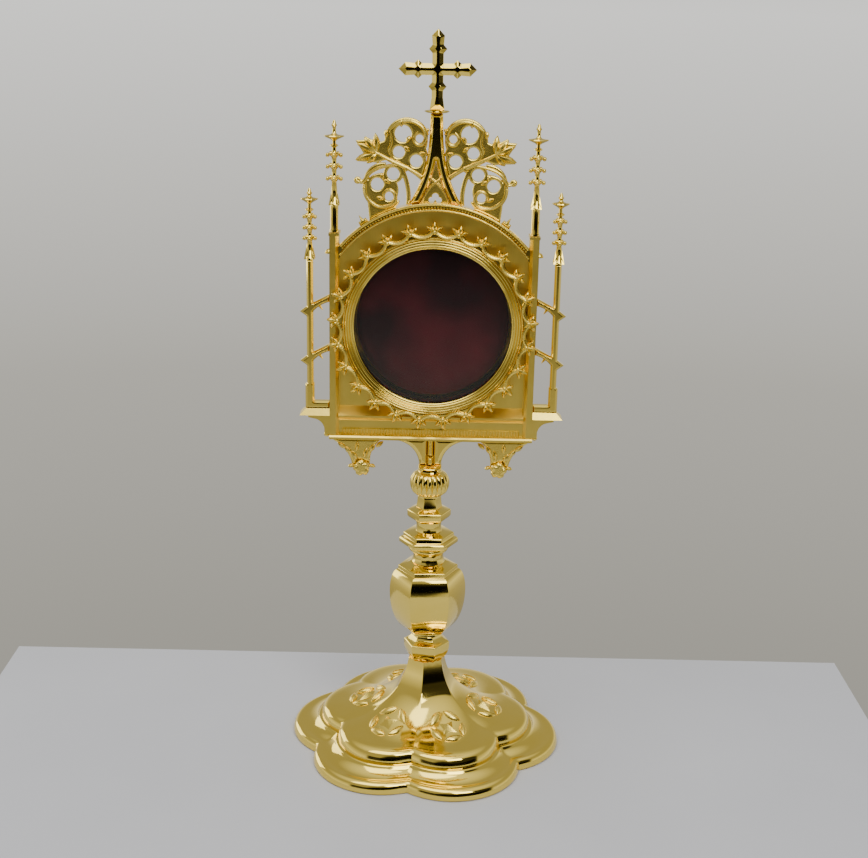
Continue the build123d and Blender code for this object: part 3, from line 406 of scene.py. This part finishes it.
# Lower collar. A milled hexagon, cupped below and hollowed above, in line with the facets of the foot,
# and the short turned neck that sits on it.
collar_rings = arc_rings(50.5, 10.9, 59.5, 13.2, 0.9, 8) + [(60.0, 13.25)]
collar_rings += arc_rings(60.4, 13.1, 64.3, 8.6, -1.0, 6) + [(65.0, 8.4)]
collar = stack_rings(6, collar_rings, 30 + foot_turn)
finish(ease(collar, 0.35), "lower_collar_hexagon", gold_polished, "lower_collar", smooth=30)
neck = stack_rings(64, arc_rings(65.0, 8.3, 67.5, 8.3, -0.5, 6))
finish(neck, "lower_neck_turned", gold_polished, "lower_neck")

# Knop. The ball that the hand holds: six-sided, milled and buffed, fullest at three fifths of its
# height, under a low moulded cap.
knop_rings = [(67.5 + 24.2 * (1 - math.cos(a)), 9.3 + 12.4 * math.sin(a) ** 0.9)
              for a in (math.radians(d) for d in range(0, 91, 5))]
knop_rings += [(91.7 + 13.1 * math.sin(a), 16.9 + 4.8 * math.cos(a))
               for a in (math.radians(d) for d in range(8, 91, 8))]
knop_rings += [(104.9, 16.95), (106.9, 16.95), (107.3, 16.3), (108.4, 13.0), (109.3, 10.6), (110.0, 9.8)]
knop = stack_rings(6, knop_rings, 30 + 3.7)
finish(ease(knop, 0.45), "knop_hexagon", gold_polished, "knop", smooth=30)

# Necks and hexagons above the knop. A turned spool with a ring, the double hexagon and the upper
# hexagon, each cut from bar and threaded on the rod.
torus = [(118.0 + 1.55 * math.sin(a), 9.6 + 1.6 * math.cos(a))
         for a in (math.radians(d) for d in range(-75, 76, 15))]
neck = stack_rings(64, arc_rings(110.0, 9.4, 115.6, 9.0, -0.7, 10) + torus + [(120.0, 9.4), (120.5, 9.2)])
finish(neck, "knop_neck_turned", gold_polished, "knop_neck")
flange = stack_rings(6, [(120.5, 14.6), (121.0, 16.4), (121.4, 16.65), (123.3, 16.65), (124.2, 15.9),
                         (124.4, 14.5), (124.7, 14.3), (126.7, 14.3), (127.2, 13.7), (127.9, 10.0),
                         (128.4, 8.3)], 30 + 1.5)
finish(ease(flange, 0.25), "double_hexagon", gold_polished, "hex_flange", smooth=30)
neck = stack_rings(64, arc_rings(128.4, 7.4, 134.3, 7.4, -0.4, 8))
finish(neck, "middle_neck_turned", gold_polished, "middle_neck")
upper = stack_rings(6, [(134.3, 8.7), (134.9, 9.6), (136.0, 11.4), (137.0, 12.2), (137.6, 12.3),
                        (140.3, 12.3), (140.8, 11.8), (141.5, 9.2), (142.0, 8.0)], 30 + 3.3)
finish(ease(upper, 0.25), "upper_hexagon", gold_polished, "upper_ring", smooth=30)
neck = stack_rings(6, arc_rings(142.0, 7.4, 149.0, 6.6, -0.15, 6), 30 + 3.3)
finish(ease(neck, 0.3), "upper_neck_hexagon", gold_polished, "upper_neck", smooth=30)

# Ribbed bead. A ball under the head, cast with twenty round ribs that run from pole to pole and close
# into two small collars, then buffed.
bead = stack_rings(160, [(149.0, 6.2), (149.6, 6.4)]
                   + [(156.5 - 6.7 * math.cos(a), 5.4 + 5.6 * math.sin(a) ** 0.8)
                      for a in (math.radians(d) for d in range(6, 175, 7))] + [(163.4, 6.6), (164.0, 6.3)])
rib_foot, rib_length, rib_depth = 0.1498, 0.0134, 0.105
for vertex in bead.data.vertices:
    angle = math.atan2(vertex.co.y, vertex.co.x)
    swell = max(0.0, math.sin(math.pi * min(max((vertex.co.z - rib_foot) / rib_length, 0), 1)))
    rib = abs(math.cos(10 * angle))
    vertex.co.xy *= 1 - rib_depth * swell ** 0.6 * (1 - rib ** 0.7)
finish(bead, "ribbed_bead_cast", gold_polished, "ribbed_bead", smooth=60)

# Head bracket. A brass casting that flares from a small seat on the bead to the underside of the head. Like
# all the flat castings of the head it has a flat back, edges filed to the outline and a crowned face.


def outline_points(node):
    """Points every tenth of a millimetre along the front outline of a flat CAD part."""
    mesh = bmesh.new()
    mesh.from_mesh(nodes[node].data)
    bmesh.ops.remove_doubles(mesh, verts=mesh.verts, dist=0.00001)
    points = []
    for edge in mesh.edges:
        if len(edge.link_faces) != 2:
            continue
        fronts = [face.normal.y for face in edge.link_faces]
        if min(fronts) < -0.9 and max(fronts) > -0.6:
            ends = [vertex.co.copy() for vertex in edge.verts]
            steps = max(1, int((ends[1] - ends[0]).length / 0.0001))
            points += [ends[0].lerp(ends[1], k / steps) for k in range(steps)]
    mesh.free()
    return points


def casting(node, voxel, edge, width, chamfer=False, back=0.4):
    """A copy of a flat CAD part, closed into an even skin and crowned from its outline inwards. In mm: the
    skin's cell, the half thickness left at the outline, and the width over which the face swells."""
    piece = bpy.data.objects.new(node + "_casting", nodes[node].data.copy())
    bpy.context.scene.collection.objects.link(piece)
    pick(piece)
    bpy.ops.object.mode_set(mode="EDIT")
    bpy.ops.mesh.select_all(action="SELECT")
    bpy.ops.mesh.remove_doubles(threshold=0.00001)
    bpy.ops.object.mode_set(mode="OBJECT")
    skin = piece.modifiers.new("skin", "REMESH")
    skin.mode = "VOXEL"
    skin.voxel_size = voxel / 1000
    bpy.ops.object.modifier_apply(modifier=skin.name)
    points = outline_points(node)
    outline = kdtree.KDTree(len(points))
    for index, point in enumerate(points):
        outline.insert((point.x, 0, point.z), index)
    outline.balance()
    low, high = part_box(node)
    middle, half = (low.y + high.y) / 2, (high.y - low.y) / 2
    normals = [vertex.normal.copy() for vertex in piece.data.vertices]
    for vertex, normal in zip(piece.data.vertices, normals):
        near, _, gap = outline.find((vertex.co.x, 0, vertex.co.z))
        side = (vertex.co.y - middle) / half
        if abs(normal.y) < 0.5:
            vertex.co.x, vertex.co.z, gap = near.x, near.z, 0.0
        share = min(gap * 1000 / width, 1.0)
        crown = share if chamfer else math.sqrt(1 - (1 - share) ** 2)
        reach = edge / 1000 + (half * (1.0 if side < 0 else back) - edge / 1000) * crown
        vertex.co.y = middle + max(-1.0, min(1.0, side)) * max(reach, edge / 2000)
    soft = piece.modifiers.new("plating", "SMOOTH")
    soft.factor = 0.4
    soft.iterations = 2
    bpy.ops.object.modifier_apply(modifier=soft.name)
    return piece


bracket = casting("head_bracket", 0.3, 2.2, 2.6)
finish(bracket, "head_bracket_casting", gold_polished, "head_bracket")

# Pendants. A cast rosette on an acanthus bracket hangs under each end of the head: overlapped petals
# round a boss, with leaves that curl up both sides.


def mirrored(piece):
    """The left-hand copy of a right-hand piece."""
    copy = piece.copy()
    copy.data = piece.data.copy()
    bpy.context.scene.collection.objects.link(copy)
    copy.data.transform(Matrix.Scale(-1, 4, (1, 0, 0)))
    copy.data.flip_normals()
    return copy


def knob(x, y, z, size, rings=6, segments=10):
    """A small round boss, sizes in mm."""
    bpy.ops.object.select_all(action="DESELECT")
    bpy.ops.mesh.primitive_uv_sphere_add(segments=segments, ring_count=rings, radius=size / 1000,
                                         location=(x / 1000, y / 1000, z / 1000))
    piece = bpy.context.object
    bpy.ops.object.transform_apply(location=True, rotation=True, scale=True)
    return piece


def prong(x, z, length, width, height, angle, y):
    """A leaf prong from its root at x, z, pointing at an angle in the XZ plane, domed to the front."""
    piece = dome(length, width, height, 10, 6, pinch=0.54)
    piece.data.transform(Matrix.Translation((x / 1000, y / 1000, z / 1000))
                         @ Matrix.Rotation(math.radians(-angle), 4, "Y")
                         @ Matrix.Translation((length / 2000, 0, 0))
                         @ Matrix.Rotation(math.radians(90), 4, "X"))
    return piece


boss_x, boss_z = 37.6, 166.6
pendant_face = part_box("right_pendant")[0].y * 1000 + 2.4
rosette = [casting("right_pendant", 0.28, 0.9, 1.6), knob(boss_x, pendant_face - 1.1, boss_z, 1.5)]
for k in range(5):
    rosette.append(prong(boss_x, boss_z, 4.9, 4.4, 1.9, 90 + 72 * k, pendant_face - 0.3))
for x, z, length, width, angle in ((40.0, 171.0, 6.0, 2.8, 60), (43.0, 174.5, 6.0, 3.0, 45),
                                   (46.0, 177.5, 6.0, 3.0, 35), (36.5, 172.0, 6.5, 2.8, 105),
                                   (33.5, 175.5, 6.0, 3.0, 120), (30.0, 178.5, 5.5, 2.6, 140),
                                   (40.5, 176.0, 6.0, 2.6, 95), (33.6, 168.5, 3.8, 2.4, 200),
                                   (41.6, 168.0, 3.8, 2.4, -10)):
    rosette.append(prong(x, z, length, width, 1.6, angle, pendant_face))
pendant = join(rosette)
left_pendant = mirrored(pendant)
finish(pendant, "pendant_right_casting", gold_cast, "right_pendant")
finish(left_pendant, "pendant_left_casting", gold_cast, "left_pendant")

# Buttresses. One casting each side: a flat upright with a wider foot, two spurs and two flying half
# arches, chamfered all round on the face, and left flat and bright in the middle.
buttress = casting("right_buttress", 0.25, 1.3, 0.9, chamfer=True, back=1.0)
left_buttress = mirrored(buttress)
finish(buttress, "buttress_right_casting", gold_polished, "right_buttress", smooth=25)
finish(left_buttress, "buttress_left_casting", gold_polished, "left_buttress", smooth=25)

# Columns, ledges and plinth. Milled brass bars and boxes, soldered together and rubbed to a fine satin
# before they are plated.
for name in ("left_column", "right_column", "left_ledge", "right_ledge", "plinth", "plinth_moulding",
             "knurled_band"):
    coat(nodes[name], gold_satin)

# Back plate. Brass sheet behind the window, sawn to shape, brushed up and down and plated. It gives the
# crest a soft golden ground.
coat(nodes["back_plate"], gold_brushed)

# Window bezel. A turned brass ring with four fine ridges, buffed bright and soldered over the front of
# the theca. The window's axis is the height that the crest, the hood and the pad share.
window = 247.0


def turned_ring(profile, segments):
    """A ring about the window's axis from a closed profile of (radius, y) points in mm."""
    bpy.ops.object.select_all(action="DESELECT")
    bpy.ops.mesh.primitive_torus_add(major_segments=segments, minor_segments=len(profile), major_radius=0.05,
                                     minor_radius=0.001)
    piece = bpy.context.object
    for index, vertex in enumerate(piece.data.vertices):
        radius, depth = profile[index % len(profile)]
        angle = 2 * math.pi * (index // len(profile)) / segments
        height = window + radius * math.sin(angle)
        vertex.co = (radius * math.cos(angle) / 1000, depth / 1000, height / 1000)
    bpy.ops.object.mode_set(mode="EDIT")
    bpy.ops.mesh.select_all(action="SELECT")
    bpy.ops.mesh.normals_make_consistent(inside=False)
    bpy.ops.object.mode_set(mode="OBJECT")
    return piece


ridges = [(42.0, -9.0), (41.85, -9.8), (42.1, -10.5), (42.6, -10.9)]
for k in range(4):
    start = 43.0 + 1.32 * k
    top = -11.5 + (0.45 if k == 3 else 0.0)
    ridges += [(start, top + 0.62), (start + 0.2, top + 0.25), (start + 0.45, top + 0.04),
               (start + 0.75, top + 0.04), (start + 1.0, top + 0.22), (start + 1.2, top + 0.55)]
ridges += [(48.3, -10.4), (48.3, -9.0)]
finish(turned_ring(ridges, 192), "window_bezel_turned", gold_polished, "window_bezel", smooth=50)

# Crest round the window. Twenty-five cast scallops, each a thin web inside a roped rim, and between them
# twenty-five three-pronged leaves, all standing proud of the back plate.
crest_count, scallop, rope_radius, scallop_height, crest_face = 25, 0.00795, 0.00095, 0.05655, -0.0112
bpy.ops.object.select_all(action="DESELECT")
bpy.ops.mesh.primitive_torus_add(major_segments=96, minor_segments=8, major_radius=scallop,
                                 minor_radius=rope_radius)
rope = bpy.context.object
for vertex in rope.data.vertices:
    angle = math.atan2(vertex.co.y, vertex.co.x)
    centre = Vector((scallop * math.cos(angle), scallop * math.sin(angle), 0))
    lay = math.atan2(vertex.co.z, vertex.co.xy.length - scallop)
    vertex.co = centre + (vertex.co - centre) * (1 + 0.13 * math.cos(2 * lay + 40 * angle))
bpy.ops.object.mode_set(mode="EDIT")
bpy.ops.mesh.select_mode(type="VERT")
bpy.ops.mesh.select_all(action="DESELECT")
mesh = bmesh.from_edit_mesh(rope.data)
for vertex in mesh.verts:
    from_bottom = abs(math.degrees(math.atan2(vertex.co.y, vertex.co.x) + math.pi / 2))
    vertex.select = from_bottom > 56 and vertex.co.y > -0.0046
mesh.select_flush(True)
bpy.ops.mesh.delete(type="VERT")
bpy.ops.mesh.select_all(action="SELECT")
bpy.ops.mesh.fill_holes(sides=0)
bpy.ops.object.mode_set(mode="OBJECT")
rope.data.transform(Matrix.Translation((0, crest_face, scallop_height))
                    @ Matrix.Rotation(math.radians(90), 4, "X"))
half_step = math.pi / crest_count
leaves = join([prong(0, 50.6, 6.1, 2.9, 2.0, 90, -11.2), prong(0.3, 51.2, 5.0, 2.4, 1.8, 35, -11.0),
               prong(-0.3, 51.2, 5.0, 2.4, 1.8, 145, -11.0), knob(0, -11.7, 51.0, 1.15)])
leaves.data.transform(Matrix.Rotation(half_step, 4, "Y"))
crest = copies(join([rope, leaves]), [Matrix.Translation((0, 0, window / 1000))
                                      @ Matrix.Rotation(half_step * (2 * k + 1), 4, "Y")
                                      for k in range(crest_count)])
finish(crest, "crest_ropes_and_leaves", gold_cast)

# Hood. A round arch over the window, bent from brass strip, with a string of cast beads between two
# rolls on its face and a leaf crocket at each side.
hood_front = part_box("hood")[0].y * 1000
bead_circle = 63.55


def tendril(points, radius, y, taper=0.55):
    """A round rib along a curve of (x, z) points in mm, thinner at its ends."""
    curve = bpy.data.curves.new("rib", "CURVE")
    curve.dimensions = "3D"
    curve.bevel_depth = radius / 1000
    curve.bevel_resolution = 3
    curve.resolution_u = 8
    curve.use_fill_caps = True
    line = curve.splines.new("NURBS")
    line.points.add(len(points) - 1)
    for index, (point, spot) in enumerate(zip(line.points, points)):
        point.co = (spot[0] / 1000, y / 1000, spot[1] / 1000, 1)
        point.radius = taper + (1 - taper) * math.sin(math.pi * index / (len(points) - 1))
    line.order_u = 3
    line.use_endpoint_u = True
    rib = bpy.data.objects.new("rib", curve)
    bpy.context.scene.collection.objects.link(rib)
    pick(rib)
    bpy.ops.object.convert(target="MESH")
    rib = bpy.context.object
    bpy.ops.object.mode_set(mode="EDIT")
    bpy.ops.mesh.select_all(action="SELECT")
    bpy.ops.mesh.remove_doubles(threshold=0.000001)
    bpy.ops.object.mode_set(mode="OBJECT")
    return rib


def arc_roll(radius, y, size, reach):
    """A half-round roll along the arch, reach is the angle either side of the crown in degrees."""
    spots = [(radius * math.sin(math.radians(a)), window + radius * math.cos(math.radians(a)))
             for a in [reach * (k / 20 - 1) for k in range(41)]]
    return tendril(spots, size, y, taper=0.95)


rolls = [arc_roll(65.0, hood_front + 0.25, 0.75, 49.5), arc_roll(62.1, hood_front + 0.35, 0.6, 53.0)]
beads = [knob(bead_circle * math.sin(a), hood_front + 0.5, window + bead_circle * math.cos(a), 0.62, 4, 6)
         for a in (math.radians(1.45 * k) for k in range(-34, 35))]
finish(join(rolls + beads), "hood_rolls_and_beads", gold_cast)
crockets = casting("hood_crockets", 0.2, 0.6, 0.9)
finish(crockets, "hood_crocket_leaves", gold_cast, "hood_crockets")

# Gable. A cast ogee over the arch: two legs sweep up into one shaft under the cross, each with bevelled
# edges that are buffed bright, over a pierced tracery of crossed ribs.
gable = casting("ogee_gable", 0.25, 1.2, 1.5, chamfer=True)
finish(gable, "gable_casting", gold_polished, "ogee_gable")
tracery = casting("gable_tracery", 0.18, 0.6, 0.8)
finish(tracery, "gable_tracery_casting", gold_cast, "gable_tracery")

# Crestings. A pierced casting each side of the gable, modelled as a vine: a main stem, two volutes round
# an eye, round eyelets, a five-pronged leaf on its stalk and a curled tendril that ends in a berry.
cresting = casting("right_cresting", 0.26, 0.5, 1.15)
vine_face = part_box("right_cresting")[0].y * 1000
main_stem = [(7.1, 325.9), (12.0, 329.0), (19.4, 332.2), (25.0, 334.5), (31.6, 338.1)]
upper_volute = [(24.1, 349.5), (20.5, 353.2), (13.5, 354.5), (7.6, 351.8), (5.0, 346.9), (6.4, 342.6),
                (9.4, 341.8), (11.6, 343.9), (11.4, 346.6), (9.6, 348.6)]
lower_volute = [(36.4, 322.2), (37.0, 317.5), (35.0, 313.6), (31.0, 310.4), (26.8, 309.6), (22.6, 310.8),
                (20.5, 313.6), (21.2, 317.6), (24.6, 319.2), (27.6, 316.4), (26.4, 313.4)]
berry_stalk = [(19.4, 332.2), (27.0, 331.0), (34.0, 328.0), (36.8, 323.6), (38.4, 321.6), (41.3, 323.5)]
leaf_stalk = [(24.1, 349.5), (22.5, 343.0), (25.4, 338.5), (21.0, 333.4)]
vine = [tendril(main_stem, 1.25, vine_face + 0.2), tendril(upper_volute, 1.15, vine_face + 0.2),
        tendril(lower_volute, 1.15, vine_face + 0.2), tendril(berry_stalk, 1.05, vine_face + 0.2),
        tendril(leaf_stalk, 0.9, vine_face + 0.3), knob(41.3, vine_face + 0.9, 323.5, 1.35),
        knob(4.6, vine_face + 0.4, 349.6, 1.0), knob(37.2, vine_face + 0.4, 319.6, 1.0)]
leaf_x, leaf_z = 30.6, 337.6
for x, z in ((31.3, 347.3), (37.4, 345.4), (41.2, 342.4), (42.0, 333.8), (36.0, 332.0)):
    angle = math.degrees(math.atan2(z - leaf_z, x - leaf_x))
    vine.append(prong(leaf_x, leaf_z, math.hypot(x - leaf_x, z - leaf_z), 4.2, 2.4, angle, vine_face + 0.9))
for x, z, angle in ((15.6, 343.0, 120), (25.6, 345.4, 80), (14.2, 331.6, -60), (13.6, 338.6, 40),
                    (30.8, 315.0, 200), (28.2, 327.6, -100), (23.4, 322.0, 30), (18.2, 350.8, 90),
                    (9.6, 337.2, 170)):
    vine.append(prong(x, z, 4.2, 2.5, 1.7, angle, vine_face + 0.5))
cresting = join([cresting] + vine)
left_cresting = mirrored(cresting)
finish(cresting, "cresting_right_vine", gold_cast, "right_cresting")
finish(left_cresting, "cresting_left_vine", gold_cast, "left_cresting")

# Pinnacles. Slender turned spires with cast crockets: gablets on four sides at the foot, three rings of
# knobs, and a bowl-shaped finial under the tip. Two tall ones stand on the columns.


def gablet(foot, top):
    """One small gable at the foot of a spire, its face sunk inside a rim, facing forward; heights in mm."""
    bpy.ops.object.select_all(action="DESELECT")
    bpy.ops.mesh.primitive_cylinder_add(vertices=3, radius=0.0034, depth=0.0011, rotation=(math.pi / 2, 0, 0))
    plate = bpy.context.object
    bpy.ops.object.transform_apply(location=True, rotation=True, scale=True)
    low = min(vertex.co.z for vertex in plate.data.vertices)
    high = max(vertex.co.z for vertex in plate.data.vertices)
    for vertex in plate.data.vertices:
        share = (vertex.co.z - low) / (high - low)
        vertex.co.z = (foot + (top - foot) * share) / 1000
        vertex.co.y -= 0.0023 * (1 - 0.55 * share)
    bpy.ops.object.mode_set(mode="EDIT")
    bpy.ops.mesh.select_mode(type="FACE")
    bpy.ops.mesh.select_all(action="DESELECT")
    mesh = bmesh.from_edit_mesh(plate.data)
    for front in mesh.faces:
        front.select = front.normal.y < -0.7
    bmesh.update_edit_mesh(plate.data)
    bpy.ops.mesh.inset(thickness=0.0009, depth=-0.0007)
    bpy.ops.object.mode_set(mode="OBJECT")
    return plate


def spire(centre, shaft_foot, gablet_foot, gablet_top, crockets, small_ring, bowl, tip, crocket_width,
          bowl_width):
    """One pinnacle over a centre; heights and widths in mm."""
    core = []
    if shaft_foot < gablet_foot:
        core += [(shaft_foot, 2.5), (shaft_foot + 1.0, 2.5), (shaft_foot + 1.6, 2.2), (gablet_foot, 2.2)]
    core += [(gablet_foot, 2.9), (gablet_foot + 0.5, 2.9), (gablet_foot + 1.0, 2.3), (gablet_top - 0.5, 1.7)]
    for z in crockets:
        core += [(z - 1.6, 1.25), (z - 0.9, 1.7), (z, 2.7), (z + 0.9, 1.6), (z + 1.6, 1.2)]
    core += [(small_ring - 0.9, 1.1), (small_ring - 0.3, 2.2), (small_ring + 0.3, 2.2),
             (small_ring + 0.9, 1.0)]
    core += [(bowl - 2.4, 0.95), (bowl - 1.6, 2.0), (bowl - 0.5, bowl_width * 0.42), (bowl, bowl_width / 2),
             (bowl + 0.5, bowl_width * 0.47), (bowl + 0.9, 1.8), (bowl + 1.7, 1.0)]
    core += [(tip - 3.4, 0.95), (tip - 2.6, 1.6), (tip - 1.9, 1.0), (tip - 0.8, 0.8), (tip, 0.35)]
    parts = [stack_rings(16, core)]
    for k in range(4):
        for z in crockets:
            parts.append(knob(crocket_width / 2 - 1.15, 0, z, 1.15, 6, 8))
            parts[-1].data.transform(Matrix.Rotation(math.radians(90 * k), 4, "Z"))
            parts.append(knob(crocket_width / 2 - 1.9, 0, z + 0.9, 0.95, 5, 6))
            parts[-1].data.transform(Matrix.Rotation(math.radians(90 * k + 45), 4, "Z"))
        parts.append(gablet(gablet_foot, gablet_top))
        parts[-1].data.transform(Matrix.Rotation(math.radians(90 * k), 4, "Z"))
    made = join(parts)
    made.data.transform(Matrix.Translation((centre.x, centre.y, 0)))
    return made


for side in ("right", "left"):
    low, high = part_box(side + "_pinnacle")
    tall = spire((low + high) / 2, 296.2, 310.3, 317.1, (323.8, 330.0, 336.0), 340.9, 345.6, high.z * 1000,
                 9.2, 10.9)
    finish(tall, "pinnacle_" + side + "_spire", gold_polished, side + "_pinnacle", smooth=50)
    low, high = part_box(side + "_outer_pinnacle")
    short = spire((low + high) / 2, 281.7, 281.7, 289.1, (292.5, 298.0, 303.8), 307.6, 313.1, high.z * 1000,
                  7.9, 9.5)
    finish(short, "outer_pinnacle_" + side + "_spire", gold_polished, side + "_outer_pinnacle", smooth=50)

# Cross. A brass casting with bevelled arms round a flat narrow strip, pointed ends and pairs of cusps,
# screwed into the collar on top of the gable.
cross = casting("cross", 0.2, 0.5, 2.2, chamfer=True, back=1.0)
finish(cross, "cross_casting", gold_polished, "cross", smooth=25)

# Window glass. A round pane cut from 2 mm soda-lime sheet and held by a spring ring. It is clear and
# hardly green, and a trace of wiping haze on its polished faces softens what it mirrors.
window_glass, tree, shader, place = new_material("window_glass")
smears = add_node(tree, "ShaderNodeTexNoise", {"Scale": 40.0, "Detail": 3.0}, {"Vector": place})
haze = add_node(tree, "ShaderNodeMapRange", {"To Min": 0.0, "To Max": 0.04}, {"Value": smears.outputs["Fac"]})
tree.links.new(haze.outputs["Result"], shader.inputs["Roughness"])
shader.inputs["Base Color"].default_value = colour("#F4FAF7")
shader.inputs["Transmission Weight"].default_value = 1.0
shader.inputs["IOR"].default_value = 1.5
coat(nodes["glass_pane"], window_glass)

# Velvet pad. Silk velvet drawn over a padded card and turned under at the edge, fixed to the rear door.
# Its short crimson pile, tufts of 0.4 mm, is dyed in soft random patches from nearly black plum to red, and a
# pool of light is painted into its colour low on the right, where it is reddest.
silk_velvet, tree, shader, place = new_material("silk_velvet")
lay = add_node(tree, "ShaderNodeTexNoise", {"Scale": 28.0, "Detail": 2.0, "Roughness": 0.4},
               {"Vector": place})
nap = add_node(tree, "ShaderNodeTexNoise", {"Scale": 2600.0, "Detail": 2.0}, {"Vector": place})
# Painted light: the dye turns redder within 4 to 36 mm of a spot low on the right of the window, a pool of
# light painted into the colour.
painted_light_distance = add_node(tree, "ShaderNodeVectorMath", {"operation": "DISTANCE"}, {"Vector": place})
painted_light_distance.inputs[1].default_value = (0.011, 0.004, 0.226)
painted_light_pool = add_node(tree, "ShaderNodeMapRange",
                {"interpolation_type": "SMOOTHSTEP", "From Min": 0.004, "From Max": 0.036,
                 "To Min": 0.34, "To Max": 0.0}, {"Value": painted_light_distance.outputs["Value"]})
lay_and_painted_light = add_node(tree, "ShaderNodeMath", {"operation": "ADD"})
tree.links.new(lay.outputs["Fac"], lay_and_painted_light.inputs[0])
tree.links.new(painted_light_pool.outputs["Result"], lay_and_painted_light.inputs[1])
redness_with_painted_light = add_node(tree, "ShaderNodeMapRange", {"From Min": 0.42, "From Max": 0.95},
                   {"Value": lay_and_painted_light.outputs["Value"]})
# The base colour mixes the random dye patches with the painted pool of light.
dye_with_painted_light = add_node(tree, "ShaderNodeMix",
               {"data_type": "RGBA", "A": colour("#3A1620"), "B": colour("#8C2836")},
               {"Factor": redness_with_painted_light.outputs["Result"]})
pile = add_node(tree, "ShaderNodeBump", {"Strength": 0.6, "Distance": 0.0002}, {"Height": nap.outputs["Fac"]})
tree.links.new(dye_with_painted_light.outputs[2], shader.inputs["Base Color"])
tree.links.new(pile.outputs["Normal"], shader.inputs["Normal"])
shader.inputs["Roughness"].default_value = 0.95
shader.inputs["Sheen Weight"].default_value = 0.6
shader.inputs["Sheen Roughness"].default_value = 0.35
shader.inputs["Sheen Tint"].default_value = colour("#8C2A3A")
shader.inputs["Specular IOR Level"].default_value = 0.1
pad_rings = [(10.0, 38.5), (9.6, 40.6), (8.4, 41.4), (6.8, 41.3), (5.4, 40.4), (4.5, 38.8), (4.1, 36.5),
             (4.2, 33.0), (4.35, 28.0), (4.3, 20.0), (4.15, 12.0), (4.1, 5.0), (4.1, 1.0)]
puckers, pucker_depth, pucker_start, pucker_width = 23, 0.00022, 0.03, 0.0114
pad = stack_rings(96, pad_rings)
for vertex in pad.data.vertices:
    x, y, z = vertex.co
    near_edge = max(0.0, (math.hypot(x, y) - pucker_start) / pucker_width)
    vertex.co = (x, z + pucker_depth * math.sin(puckers * math.atan2(y, x)) * near_edge, y + window / 1000)
pad.data.flip_normals()
finish(pad, "velvet_pad_cover", silk_velvet, "velvet_pad", body="door", slot="velvet", smooth=60)

# Steel fixings. The tie rod, washer, nut, hinge pin, screws and retaining ring are nickel-plated steel,
# turned on a lathe: cool grey against the gold, with tool marks of 0.6 mm that make their shine satin.
steel, tree, shader, place = new_material("nickel_plated_steel")
drawn = add_node(tree, "ShaderNodeMapping", {"Scale": (0.1, 1.0, 0.1)}, {"Vector": place})
turning = add_node(tree, "ShaderNodeTexNoise", {"Scale": 1800.0, "Detail": 2.0},
                   {"Vector": drawn.outputs["Vector"]})
lathe = add_node(tree, "ShaderNodeBump", {"Strength": 0.4, "Distance": 0.00005},
                 {"Height": turning.outputs["Fac"]})
satin = add_node(tree, "ShaderNodeMapRange", {"To Min": 0.22, "To Max": 0.4},
                 {"Value": turning.outputs["Fac"]})
tree.links.new(lathe.outputs["Normal"], shader.inputs["Normal"])
tree.links.new(satin.outputs["Result"], shader.inputs["Roughness"])
shader.inputs["Base Color"].default_value = colour("#C9C7C0")
shader.inputs["Metallic"].default_value = 1.0
for name in ("tie_rod", "foot_washer", "foot_nut", "hinge_pin", "flange_screws", "glass_retaining_ring",
             "latch_screw"):
    coat(nodes[name], steel)
